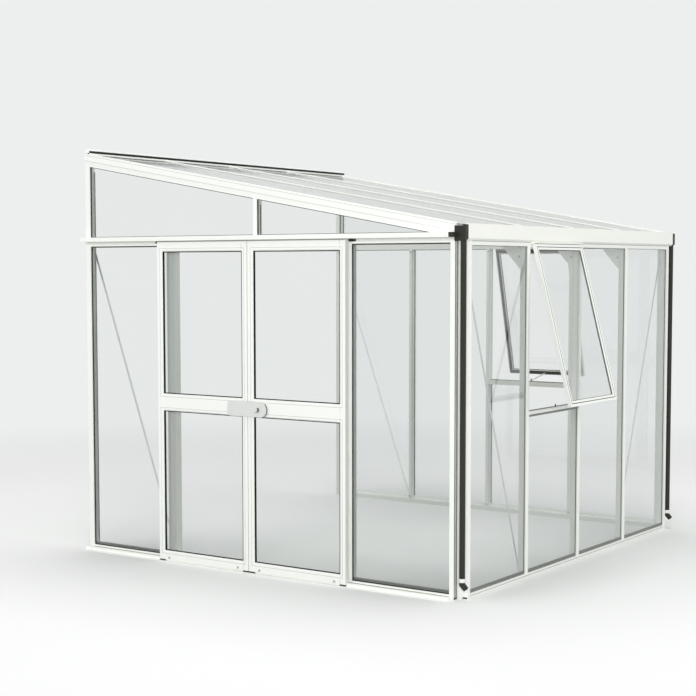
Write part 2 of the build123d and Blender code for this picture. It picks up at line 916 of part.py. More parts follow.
def door_pieces():
    """Track, guide and the two sliding leaves."""
    pieces = {
        "door_track": door_track(),
        "door_track_plug": track_end_plug(),
        "door_guide": door_guide(),
        "door_lock": lock_lever(),
    }
    for name, side in (("wall_leaf", 1), ("front_leaf", -1)):
        pieces[f"{name}_stiles"] = leaf_stiles(side)
        pieces[f"{name}_rails"] = leaf_rails(side)
        pieces[f"{name}_panes"] = leaf_panes(side)
        pieces[f"{name}_hangers"] = leaf_hangers(side)
    return pieces


def all_pieces():
    """Every node's name with the list of its solids, in the setting-out frame."""
    pieces = {}
    for group in (frame_pieces, rainwater_pieces, glass_pieces, window_pieces, door_pieces):
        for name, item in group().items():
            made = item if isinstance(item, list) else [item]
            pieces[name] = [solid for piece in made for solid in piece.solids()]
    return pieces


def footprint_centre(pieces):
    """Middle of the whole box in plan, at the height of its underside."""
    solids = [solid for group in pieces.values() for solid in group]
    bounds = Compound(solids).bounding_box()
    middle = bounds.center()
    return Vector(middle.X, middle.Y, bounds.min.Z)


def main():
    os.makedirs("parts", exist_ok=True)
    pieces = all_pieces()
    centre = footprint_centre(pieces)
    print("setting-out corner lies at", -centre)
    for name, solids in pieces.items():
        moved = [Pos(-centre) * solid for solid in solids]
        export_step(moved[0] if len(moved) == 1 else Compound(moved), f"parts/{name}.step")


main()
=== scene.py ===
import json
import logging
import math
from dataclasses import dataclass
from enum import Enum

import bmesh
import bpy
import numpy as np
from bpy.types import ID, Material, Node, NodeSocket, NodeTree, Object, World
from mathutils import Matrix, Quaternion, Vector


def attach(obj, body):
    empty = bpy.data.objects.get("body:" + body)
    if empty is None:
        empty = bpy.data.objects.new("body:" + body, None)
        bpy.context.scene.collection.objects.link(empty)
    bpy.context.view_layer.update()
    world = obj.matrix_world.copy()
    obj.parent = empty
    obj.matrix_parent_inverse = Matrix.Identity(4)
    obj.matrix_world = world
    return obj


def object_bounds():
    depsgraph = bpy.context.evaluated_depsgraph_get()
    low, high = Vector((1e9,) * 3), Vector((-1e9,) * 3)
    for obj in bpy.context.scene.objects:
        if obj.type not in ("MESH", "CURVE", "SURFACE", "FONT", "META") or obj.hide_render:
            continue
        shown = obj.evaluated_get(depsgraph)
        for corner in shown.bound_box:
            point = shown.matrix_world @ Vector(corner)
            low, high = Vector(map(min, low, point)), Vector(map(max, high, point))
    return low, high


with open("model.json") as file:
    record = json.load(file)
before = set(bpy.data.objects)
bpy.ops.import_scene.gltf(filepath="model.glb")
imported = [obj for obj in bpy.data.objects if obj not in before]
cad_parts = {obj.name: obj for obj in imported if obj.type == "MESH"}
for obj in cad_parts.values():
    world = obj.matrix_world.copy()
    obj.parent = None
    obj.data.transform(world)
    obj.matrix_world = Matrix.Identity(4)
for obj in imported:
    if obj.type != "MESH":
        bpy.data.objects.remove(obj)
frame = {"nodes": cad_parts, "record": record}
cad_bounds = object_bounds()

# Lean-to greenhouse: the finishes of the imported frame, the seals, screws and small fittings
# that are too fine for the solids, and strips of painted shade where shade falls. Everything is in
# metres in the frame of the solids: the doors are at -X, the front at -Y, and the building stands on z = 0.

MM = 0.001
PHOTO_SIDE_PX = 696
SENSOR_MM = 36.0

# How deep each pane sits in its frame, and a point inside the building.
PANE_COVER = 8.0 * MM
CENTRE = (cad_bounds[0] + cad_bounds[1]) / 2

TO_DOORS = Vector((-1, 0, 0))
TO_FAR = Vector((1, 0, 0))
TO_FRONT = Vector((0, -1, 0))
TO_WALL = Vector((0, 1, 0))
UP = Vector((0, 0, 1))
DOWN = Vector((0, 0, -1))

# How finely the noise of the patches and of the grain branches out.
PATCH_DETAIL = 3.0
GRAIN_DETAIL = 4.0

log = logging.getLogger("greenhouse")


def linear(hex_colour: str) -> tuple[float, float, float, float]:
    """Turn an sRGB hex colour into linear light.

    Args:
        hex_colour: Six hex digits after a hash.

    Returns:
        Red, green, blue and an alpha of 1.
    """
    channels = [int(hex_colour[i:i + 2], 16) / 255 for i in (1, 3, 5)]
    parts = [c / 12.92 if c <= 0.04045 else ((c + 0.055) / 1.055) ** 2.4 for c in channels]
    return (parts[0], parts[1], parts[2], 1.0)


def add_node(tree: NodeTree, kind: str, settings: dict | None = None,
             links: dict | None = None) -> Node:
    """Add one node with its settings and its incoming links.

    Args:
        tree: The node tree that takes the node.
        kind: The node's type name.
        settings: Values by input name, input number or property name.
        links: Source sockets by input name or number.

    Returns:
        The new node.
    """
    node = tree.nodes.new(kind)
    for key, value in (settings or {}).items():
        if isinstance(key, int) or key in node.inputs:
            node.inputs[key].default_value = value
        else:
            setattr(node, key, value)
    for key, source in (links or {}).items():
        tree.links.new(source, node.inputs[key])
    return node


def ray_is(tree: NodeTree, *kinds: str) -> NodeSocket:
    """Ask which kind of ray has met a surface.

    Args:
        tree: The node tree that asks.
        kinds: Kinds of ray, as the light path node names them.

    Returns:
        A socket that is 1 for a ray of any of these kinds.
    """
    path = add_node(tree, "ShaderNodeLightPath")
    found = path.outputs[f"Is {kinds[0]} Ray"]
    for kind in kinds[1:]:
        either = add_node(tree, "ShaderNodeMath", {"operation": "MAXIMUM"},
                          {0: found, 1: path.outputs[f"Is {kind} Ray"]})
        found = either.outputs[0]
    return found


def empty_tree(owner: Material | World) -> NodeTree:
    """Turn on the nodes of a material or world and clear them.

    Args:
        owner: The material or world.

    Returns:
        Its empty node tree.
    """
    owner.use_nodes = True
    owner.node_tree.nodes.clear()
    return owner.node_tree


def add_object(name: str, data: ID) -> Object:
    """Put a new object into the scene.

    Args:
        name: Name of the object.
        data: Its mesh, lamp or camera.

    Returns:
        The object.
    """
    made = bpy.data.objects.new(name, data)
    bpy.context.scene.collection.objects.link(made)
    return made


def per_metre(size_mm: float) -> float:
    """Texture scale whose features measure the given millimetres."""
    return 1.0 / (size_mm * MM)


class Slot(Enum):
    """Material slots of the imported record."""

    FRAME = "white_frame"
    GUTTER = "white_gutter"
    BLACK_PLASTIC = "black_plastic"
    RUBBER = "black_rubber"
    CLIP = "clip_plastic"
    ALUMINIUM = "bare_aluminium"
    GLASS = "clear_glass"
    ZINC = "zinc_steel"
    LOCK = "grey_plastic"


class Body(Enum):
    """Bodies that pieces ride on."""

    HOUSE = "greenhouse"
    WALL_LEAF = "wall_leaf"
    FRONT_LEAF = "front_leaf"


@dataclass(frozen=True)
class Finish:
    """What every finish shares: two near tones in large faint patches, and a fine grain."""

    name: str  # Name of the Blender material
    colour: str  # Main colour in sRGB hex
    drift: str  # Colour of the faint large patches, in sRGB hex
    slot: Slot  # The record's material slot that it dresses
    patch_mm: float  # Size of those large patches
    roughness: float  # Mean roughness
    spread: float = 0.08  # How far the roughness strays from its mean
    grain_mm: float = 2.0  # Size of the surface grain
    relief_mm: float = 0.05  # Height of the surface grain
    stretch: float = 1.0  # Scale of the grain up and down; less than 1 draws it out into lines
    metallic: float = 0.0  # 1 for bare metal
    ior: float = 1.5  # Index of refraction
    specular: float = 0.5  # Level of the plain reflection

    def shader_settings(self) -> dict:
        """Constant settings of the shader."""
        return {"Metallic": self.metallic, "IOR": self.ior, "Specular IOR Level": self.specular}

    def material(self) -> Material:
        """Make the material once and hand out the same one afterwards.

        Returns:
            The Blender material of this finish.
        """
        made = bpy.data.materials.get(self.name)
        if made is None:
            made = bpy.data.materials.new(self.name)
            made.diffuse_color = linear(self.colour)
            self.build(empty_tree(made))
        return made

    def build(self, tree: NodeTree) -> None:
        """Lay out the nodes: faint patches of colour, grain in roughness and in relief.

        Args:
            tree: The material's empty node tree.
        """
        place = add_node(tree, "ShaderNodeTexCoord").outputs["Object"]
        stretched = add_node(tree, "ShaderNodeMapping", {"Scale": (1.0, 1.0, self.stretch)},
                             {"Vector": place}).outputs["Vector"]
        patches = add_node(tree, "ShaderNodeTexNoise",
                           {"Scale": per_metre(self.patch_mm), "Detail": PATCH_DETAIL}, {"Vector": place})
        grain = add_node(tree, "ShaderNodeTexNoise",
                         {"Scale": per_metre(self.grain_mm), "Detail": GRAIN_DETAIL}, {"Vector": stretched})
        colour = add_node(tree, "ShaderNodeMix",
                          {"data_type": "RGBA", 6: linear(self.colour), 7: linear(self.drift)},
                          {0: patches.outputs["Fac"]})
        rough = add_node(tree, "ShaderNodeMapRange",
                         {"To Min": self.roughness - self.spread, "To Max": self.roughness + self.spread},
                         {"Value": grain.outputs["Fac"]})
        relief = add_node(tree, "ShaderNodeBump",
                          {"Strength": 1.0, "Distance": self.relief_mm * MM},
                          {"Height": grain.outputs["Fac"]})
        shader = add_node(tree, "ShaderNodeBsdfPrincipled", self.shader_settings(),
                          {"Base Color": colour.outputs[2], "Roughness": rough.outputs["Result"],
                           "Normal": relief.outputs["Normal"]})
        self.close(tree, shader)

    def close(self, tree: NodeTree, shader: Node) -> None:
        """Join the shader to the output."""
        add_node(tree, "ShaderNodeOutputMaterial", links={"Surface": shader.outputs[0]})


@dataclass(frozen=True)
class PowderCoat(Finish):
    """Polyester powder coat baked on extruded aluminium: satin, with a soft orange peel."""

    slot: Slot = Slot.FRAME
    patch_mm: float = 420.0
    roughness: float = 0.36
    spread: float = 0.06
    grain_mm: float = 3.0


@dataclass(frozen=True)
class MillAluminium(Finish):
    """Untreated extruded aluminium: greyish metal with die lines along the strip."""

    slot: Slot = Slot.ALUMINIUM
    patch_mm: float = 70.0
    roughness: float = 0.38
    stretch: float = 0.06
    metallic: float = 1.0


@dataclass(frozen=True)
class ZincPlate(Finish):
    """Bright zinc on steel screws: pale metal with a faint cloudy bloom."""

    slot: Slot = Slot.ZINC
    patch_mm: float = 8.0
    roughness: float = 0.34
    relief_mm: float = 0.03
    metallic: float = 1.0


@dataclass(frozen=True)
class ExtrudedPvc(Finish):
    """Black PVC pipe, extruded: a dull sheen with faint streaks along its length."""

    slot: Slot = Slot.BLACK_PLASTIC
    patch_mm: float = 160.0
    roughness: float = 0.42
    grain_mm: float = 4.0
    stretch: float = 0.08
    ior: float = 1.54
    specular: float = 0.2


@dataclass(frozen=True)
class MouldedPlastic(Finish):
    """Injection-moulded plastic: even colour with a fine spark-eroded texture."""

    slot: Slot = Slot.LOCK
    patch_mm: float = 60.0
    roughness: float = 0.4
    spread: float = 0.05
    grain_mm: float = 1.5
    relief_mm: float = 0.06


@dataclass(frozen=True)
class Epdm(Finish):
    """EPDM rubber seal, extruded: matt, from near black to pale grey; its tones also fill the strips of
    painted shade.
    """

    slot: Slot = Slot.RUBBER
    patch_mm: float = 90.0
    roughness: float = 0.7
    relief_mm: float = 0.08
    ior: float = 1.52
    specular: float = 0.3


@dataclass(frozen=True)
class NaturalPolypropylene(Finish):
    """Uncoloured polypropylene clip: milky, so light soaks in a little."""

    slot: Slot = Slot.CLIP
    patch_mm: float = 30.0
    roughness: float = 0.38
    spread: float = 0.06
    ior: float = 1.49
    soak: float = 0.35  # Share of the light that scatters below the surface
    soak_mm: float = 2.0  # How deep it scatters

    def shader_settings(self) -> dict:
        """The shared settings, and the light that soaks in."""
        soaked = {"Subsurface Weight": self.soak, "Subsurface Scale": self.soak_mm * MM}
        return super().shader_settings() | soaked


@dataclass(frozen=True)
class ToughenedGlass(Finish):
    """Clear toughened float glass: a faint green-grey body tint and long roller waves."""

    colour: str = "#F7F8F8"
    drift: str = "#F5F7F7"
    slot: Slot = Slot.GLASS
    patch_mm: float = 500.0
    roughness: float = 0.012
    spread: float = 0.004
    grain_mm: float = 260.0
    relief_mm: float = 0.03
    ior: float = 1.52
    shade: str = "#D4D6D5"  # What is left of light that passes one face of a pane on its way to a surface

    def shader_settings(self) -> dict:
        """The shared settings, and clear all through."""
        return super().shader_settings() | {"Transmission Weight": 1.0}

    def close(self, tree: NodeTree, shader: Node) -> None:
        """Let shadow and bounce rays pass straight through, tinted, so the inside stays lit.

        Args:
            tree: The material's node tree.
            shader: The glass shader that the eye and the reflections see.
        """
        passing = ray_is(tree, "Shadow", "Diffuse")
        clear = add_node(tree, "ShaderNodeBsdfTransparent", {"Color": linear(self.shade)})
        either = add_node(tree, "ShaderNodeMixShader",
                          links={0: passing, 1: shader.outputs[0], 2: clear.outputs[0]})
        super().close(tree, either)


WHITE_FRAME = PowderCoat("powder_coat_white_frame", "#F6F8F3", "#F1F3EE")
WHITE_GUTTER = PowderCoat("powder_coat_white_gutter", "#F8F9F3", "#F3F4EE", Slot.GUTTER, patch_mm=600.0,
                          roughness=0.32, spread=0.05, grain_mm=4.0, relief_mm=0.04)
BLACK_PIPE = ExtrudedPvc("extruded_pvc_black", "#32312D", "#2C2B28")
# The rubber tones and the grey nylon colour real seals and screws, and also the strips of painted shade that
# lie in recesses, under lips and on faces in shade.
RUBBER = Epdm("epdm_rubber_black", "#1C1D1C", "#242524", roughness=0.72)
GREY_RUBBER_AND_SHADE = Epdm("epdm_grey_and_painted_shade", "#8B8D88", "#7F817C")
SLATE_RUBBER_AND_SHADE = Epdm("epdm_slate_and_painted_shade", "#5E605A", "#565852")
PALE_RUBBER_AND_SHADE = Epdm("epdm_pale_and_painted_shade", "#CDCFCA", "#C3C5C0")
CLIP = NaturalPolypropylene("natural_polypropylene", "#EEF0EC", "#E2E6E1")
STRIP = MillAluminium("mill_aluminium_strip", "#ECEEED", "#E0E3E2")
ZINC = ZincPlate("zinc_plated_steel", "#C9CCCB", "#B4B8B9")
LOCK_PLASTIC = MouldedPlastic("moulded_plastic_grey", "#DCDDDB", "#D6D7D5")
NYLON = MouldedPlastic("moulded_nylon_black", "#30312E", "#282926", Slot.BLACK_PLASTIC, patch_mm=20.0,
                       roughness=0.5)
NYLON_GREY_AND_SHADE = MouldedPlastic("moulded_nylon_grey_and_painted_shade", "#6C6D67", "#62635E", patch_mm=30.0, roughness=0.5)
GLASS = ToughenedGlass("toughened_glass_clear")
GABLE_GLASS = ToughenedGlass("toughened_glass_gable", shade="#B4B6B5")
ROOF_GLASS = ToughenedGlass("toughened_glass_roof", roughness=0.12, spread=0.01, shade="#F8F9F8")

FINISH_BY_NODE = {
    "roof_panes": ROOF_GLASS,
    "door_side_panes": GABLE_GLASS,
    "gable_top_panes": GABLE_GLASS,
}

FINISH_BY_SLOT = {
    finish.slot: finish
    for finish in (WHITE_FRAME, WHITE_GUTTER, BLACK_PIPE, RUBBER, CLIP, STRIP, GLASS, ZINC, LOCK_PLASTIC)
}


@dataclass(frozen=True)
class Solid:
    """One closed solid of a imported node."""

    points: np.ndarray  # Its corner points

    @property
    def low(self) -> Vector:
        """Lowest corner of its box."""
        return Vector(self.points.min(0))

    @property
    def high(self) -> Vector:
        """Highest corner of its box."""
        return Vector(self.points.max(0))

    @property
    def middle(self) -> Vector:
        """Middle of its box."""
        return (self.low + self.high) / 2

    @property
    def inward(self) -> int:
        """Sign of the way along X to the middle of the building."""
        return 1 if self.middle.x < 0 else -1

    @property
    def outer_x(self) -> float:
        """X of the face that it turns away from the middle of the building."""
        return self.low.x if self.inward > 0 else self.high.x

    @property
    def inner_x(self) -> float:
        """X of the face that it turns to the middle of the building."""
        return self.high.x if self.inward > 0 else self.low.x

    def face(self, out: Vector) -> Vector:
        """Find the middle of one face of its box.

        Args:
            out: Direction that the face looks in, along an axis.

        Returns:
            The middle of that face.
        """
        at = self.middle
        for axis, way in enumerate(out):
            if way:
                at[axis] = (self.high if way > 0 else self.low)[axis]
        return at

    def course(self, level: float) -> tuple[Vector, Vector, Vector]:
        """Find a level line along the outer face of a bar of the frame.

        Args:
            level: Height of the line.

        Returns:
            Both ends of the line, and the direction away from the face.
        """
        low, high = self.low, self.high
        if high.x - low.x > high.y - low.y:
            return Vector((low.x, low.y, level)), Vector((high.x, low.y, level)), TO_FRONT
        x = self.outer_x
        return Vector((x, low.y, level)), Vector((x, high.y, level)), TO_FAR * -self.inward


def solids_of(node: str) -> list[Solid]:
    """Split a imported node's mesh into its separate solids.

    Args:
        node: Name of the node.

    Returns:
        The solids, in order of the sum of their box's middle.
    """
    mesh = frame["nodes"][node].data
    keys = [tuple(round(c, 4) for c in v.co) for v in mesh.vertices]
    parent = {key: key for key in keys}

    def root(key: tuple) -> tuple:
        """Find the representative of a corner's solid."""
        while parent[key] != key:
            parent[key] = parent[parent[key]]
            key = parent[key]
        return key

    for polygon in mesh.polygons:
        first = root(keys[polygon.vertices[0]])
        for index in polygon.vertices[1:]:
            parent[root(keys[index])] = first
    groups: dict[tuple, list] = {}
    for key in parent:
        groups.setdefault(root(key), []).append(key)
    solids = [Solid(np.array(points)) for points in groups.values()]
    return sorted(solids, key=lambda solid: sum(solid.middle))


@dataclass(frozen=True)
class Pane:
    """A flat pane: the corners of its outer face in order, its outward normal and thickness."""

    corners: list[Vector]
    normal: Vector
    thickness: float

    @classmethod
    def from_solid(cls, solid: Solid) -> "Pane":
        """Read a pane from its solid.

        Args:
            solid: The pane's solid.

        Returns:
            The pane, its normal pointing out of the building.
        """
        points = solid.points
        mean = points.mean(0)
        axes = np.linalg.svd(points - mean)[2]
        normal = Vector(axes[2])
        if normal.dot(Vector(mean) - CENTRE) < 0:
            normal = -normal
        heights = (points - mean) @ np.array(normal)
        outer = points[heights > 0]
        across, up = Vector(axes[0]), normal.cross(Vector(axes[0]))
        arms = [Vector(point) - Vector(mean) for point in outer]
        order = sorted(range(len(arms)), key=lambda i: math.atan2(arms[i].dot(up), arms[i].dot(across)))
        return cls([Vector(outer[i]) for i in order], normal, float(heights.max() - heights.min()))

    def inset(self, distance: float, lift: float) -> list[Vector]:
        """Move the corners in from the edges and off the outer face.

        Args:
            distance: How far in from each edge.
            lift: How far along the outward normal.

        Returns:
            The moved corners.
        """
        moved = []
        count = len(self.corners)
        for i, corner in enumerate(self.corners):
            before = (corner - self.corners[i - 1]).normalized()
            after = (self.corners[(i + 1) % count] - corner).normalized()
            n0, n1 = self.normal.cross(before), self.normal.cross(after)
            step = (n0 + n1) / (1 + n0.dot(n1))
            moved.append(corner + step * distance + self.normal * lift)
        return moved


class Sketch:
    """Collects faces in metres and turns them into one piece."""

    def __init__(self) -> None:
        """Start with nothing."""
        self.points: list[Vector] = []
        self.faces: list[tuple[int, ...]] = []
        self.smooth: list[bool] = []

    def rings(self, rows: list[list[Vector]], closed: bool, smooth: bool = False) -> None:
        """Join rows of points, each a closed loop, by four-sided faces.

        Args:
            rows: The loops, all with as many points.
            closed: Whether the last row joins the first; if not, both ends get a cap.
            smooth: Whether the faces are shaded smooth.
        """
        start = len(self.points)
        count = len(rows[0])
        for row in rows:
            self.points.extend(row)
        spans = len(rows) if closed else len(rows) - 1
        for r in range(spans):
            low = start + r * count
            high = start + ((r + 1) % len(rows)) * count
            for i in range(count):
                j = (i + 1) % count
                self.faces.append((low + i, low + j, high + j, high + i))
                self.smooth.append(smooth)
        if not closed:
            last = start + (len(rows) - 1) * count
            self.faces.append(tuple(range(start, start + count)))
            self.faces.append(tuple(range(last, last + count)))
            self.smooth.extend([False, False])

    def lathe(self, at: Vector, axis: Vector, profile: list[tuple[float, float]], sides: int,
              smooth: bool = False) -> None:
        """Turn a profile of radius and height about an axis.

        Args:
            at: Foot of the axis.
            axis: Direction of the axis.
            profile: Radius and height pairs from the foot up.
            sides: Number of sides.
            smooth: Whether the faces are shaded smooth.
        """
        axis = axis.normalized()
        across = axis.orthogonal().normalized()
        other = axis.cross(across)
        angles = [2 * math.pi * i / sides for i in range(sides)]
        rays = [across * math.cos(angle) + other * math.sin(angle) for angle in angles]
        rows = [[at + axis * height + ray * radius for ray in rays] for radius, height in profile]
        self.rings(rows, closed=False, smooth=smooth)

    def strip(self, start: Vector, end: Vector, out: Vector, width: float, height: float) -> None:
        """Run a low strip with a bevelled nose from point to point along a face.

        Args:
            start: Middle of the strip's foot where it begins.
            end: Middle of the foot where it ends.
            out: Direction away from the face.
            width: Width of the foot.
            height: How far it stands off the face.
        """
        across = out.cross((end - start).normalized())
        foot, nose = across * width / 2, across * width / 3
        outline = [start - foot, start - nose + out * height, start + nose + out * height, start + foot]
        along = end - start
        self.rings([outline, [corner + along for corner in outline]], closed=False)

    def course(self, bar: Solid, level: float, width: float, height: float) -> None:
        """Run a level strip along the outer face of a bar of the frame."""
        start, end, out = bar.course(level)
        self.strip(start, end, out, width, height)

    def band(self, centre: Vector, axis: Vector, facing: Vector, radius: float, thickness: float,
             length: float, half_angle: float, steps: int) -> None:
        """Lay a thin curved skirt round a round part, on the side that it faces.

        Args:
            centre: Point on the round part's axis where the skirt starts.
            axis: Direction of that axis.
            facing: Direction from the axis to the middle of the skirt.
            radius: Radius of the round part.
            thickness: Thickness of the skirt.
            length: Length of the skirt along the axis.
            half_angle: Angle from its middle to its ends, in degrees.
            steps: Number of faces along it.
        """
        axis, facing = axis.normalized(), facing.normalized()
        rows = []
        for step in range(steps + 1):
            angle = math.radians(half_angle) * (2 * step / steps - 1)
            ray = Quaternion(axis, angle) @ facing
            inner, outer = centre + ray * radius, centre + ray * (radius + thickness)
            rows.append([inner, outer, outer + axis * length, inner + axis * length])
        self.rings(rows, closed=False, smooth=True)

    def piece(self, name: str, finish: Finish, body: Body = Body.HOUSE) -> None:
        """Make the object, dress it and let it ride on its body.

        Args:
            name: Name of the piece.
            finish: Its finish, which also says its material slot.
            body: The body it moves with.
        """
        mesh = bpy.data.meshes.new(name)
        mesh.from_pydata(self.points, [], self.faces)
        mesh.polygons.foreach_set("use_smooth", self.smooth)
        work = bmesh.new()
        work.from_mesh(mesh)
        bmesh.ops.recalc_face_normals(work, faces=work.faces)
        work.to_mesh(mesh)
        work.free()
        mesh.materials.append(finish.material())
        made = add_object(name, mesh)
        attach(made, body.value)
        log.info("%s: %d faces on %s", name, len(mesh.polygons), body.value)


@dataclass
class HexBolt:
    """Hexagon bolt head on a round washer."""

    head: float = 5.0 * MM  # Radius of the head over its corners
    height: float = 4.0 * MM  # Height of the head
    chamfer: float = 0.8 * MM  # Bevel of the head's rim
    sides: int = 6  # Number of sides of the head
    washer: float = 7.5 * MM  # Radius of the washer
    washer_height: float = 1.2 * MM  # Thickness of the washer
    washer_sides: int = 16  # Number of sides of the washer

    def add(self, sketch: Sketch, at: Vector, out: Vector) -> None:
        """Set one bolt head on a face.

        Args:
            sketch: Where its faces go.
            at: The point on the face.
            out: Direction away from the face.
        """
        base = self.washer_height
        top = base + self.height
        sketch.lathe(at, out, [(self.washer, 0), (self.washer, base)], self.washer_sides)
        profile = [(self.head, base), (self.head, top - self.chamfer), (self.head - self.chamfer, top)]
        sketch.lathe(at, out, profile, self.sides)


@dataclass
class DomeScrew:
    """Pan-head screw: a low dome."""

    radius: float = 4.5 * MM  # Radius of the head
    height: float = 2.4 * MM  # Height that the full dome would have
    steps: int = 4  # Number of rings of the dome above its foot
    sides: int = 14  # Number of sides

    def add(self, sketch: Sketch, at: Vector, out: Vector) -> None:
        """Set one screw head on a face.

        Args:
            sketch: Where its faces go.
            at: The point on the face.
            out: Direction away from the face.
        """
        angles = [math.pi / 2 * step / (self.steps + 1) for step in range(self.steps + 1)]
        profile = [(self.radius * math.cos(angle), self.height * math.sin(angle)) for angle in angles]
        sketch.lathe(at, out, profile, self.sides, smooth=True)


class Face(Enum):
    """Which face of a framed pane a strip lies on."""

    OUTER = 1
    ROOM = -1


@dataclass
class PaneTrim:
    """What runs along the panes of a node, all of them in one piece."""

    filler: Finish  # Finish of the trim
    label: str  # End of the piece's name, after the node's

    def trim(self, sketch: Sketch, pane: Pane) -> None:
        """Add the trim of one pane; each kind of trim has its own way."""
        raise NotImplementedError

    def build(self, node: str, body: Body = Body.HOUSE) -> None:
        """Make the trim of a node's panes.

        Args:
            node: The node with the panes.
            body: The body they move with.
        """
        sketch = Sketch()
        for solid in solids_of(node):
            self.trim(sketch, Pane.from_solid(solid))
        sketch.piece(f"{node}_{self.label}", self.filler, body)


@dataclass
class GlazingSeals(PaneTrim):
    """Rubber beads round the visible edge of every pane."""

    width: float  # Visible width of the bead
    height: float  # How far the bead stands off the glass
    faces: tuple[Face, ...] = (Face.OUTER, Face.ROOM)  # The faces that get a bead
    nose: float = 1.5 * MM  # How much the bead narrows towards its top
    tuck: float = 0.5 * MM  # How far the bead reaches under the frame's edge

    def trim(self, sketch: Sketch, pane: Pane) -> None:
        """Add the beads of one pane.

        Args:
            sketch: Where their faces go.
            pane: The pane.
        """
        edge = PANE_COVER - self.tuck
        inner = PANE_COVER + self.width
        for face in self.faces:
            base = 0.0 if face is Face.OUTER else -pane.thickness
            lift = base + face.value * self.height
            rows = [
                pane.inset(edge, base), pane.inset(edge, lift),
                pane.inset(inner - self.nose, lift), pane.inset(inner, base),
            ]
            sketch.rings(rows, closed=True)


@dataclass
class FrameStrips(PaneTrim):
    """Strip laid all round each pane on its frame bars, as painted shade: the shade in a bead joint's
    groove, and the shade on a sash's room side.
    """

    reach: float  # Distance of the strip from the visible edge of the glass
    frame_depth: float  # Thickness of the frame bars, with the pane in their middle
    width: float = 3.0 * MM  # Width of the strip
    face: Face = Face.OUTER  # The face it lies on
    stand: float = 0.3 * MM  # How far it stands proud of the face, and how deep it sits in it

    def trim(self, sketch: Sketch, pane: Pane) -> None:
        """Add the strip of one pane.

        Args:
            sketch: Where its faces go.
            pane: The pane.
        """
        side = self.face.value
        depth = (self.frame_depth - pane.thickness) / 2
        surface = depth if self.face is Face.OUTER else -pane.thickness - depth
        low, high = surface - side * self.stand, surface + side * self.stand
        inner = PANE_COVER - self.reach
        outer = inner - self.width
        rows = [
            pane.inset(outer, low), pane.inset(outer, high), pane.inset(inner, high), pane.inset(inner, low),
        ]
        sketch.rings(rows, closed=True)


@dataclass
class PaneEdgeShade(PaneTrim):
    """Grey strip along one edge of each fixed pane: at the foot on its room side, painted shade that stands
    in for the base's inner upstand; at the top outside, painted shade under the head rail.
    """

    rise: float  # Height of the strip
    face: Face = Face.ROOM  # Room side for the foot, outer side for the top
    thickness: float = 4.0 * MM  # Thickness of its foot

    def trim(self, sketch: Sketch, pane: Pane) -> None:
        """Add the strip of one pane.

        Args:
            sketch: Where its faces go.
            pane: The pane.
        """
        foot = self.face is Face.ROOM
        levels = [corner.z for corner in pane.corners]
        level = min(levels) if foot else max(levels)
        start, end = [corner for corner in pane.corners if abs(corner.z - level) < PANE_COVER]
        along = (end - start).normalized() * PANE_COVER
        lift = Vector((0, 0, PANE_COVER + self.rise / 2))
        lift = lift - pane.normal * pane.thickness if foot else -lift
        sketch.strip(start + along + lift, end - along + lift, pane.normal * self.face.value, self.rise,
                     self.thickness)


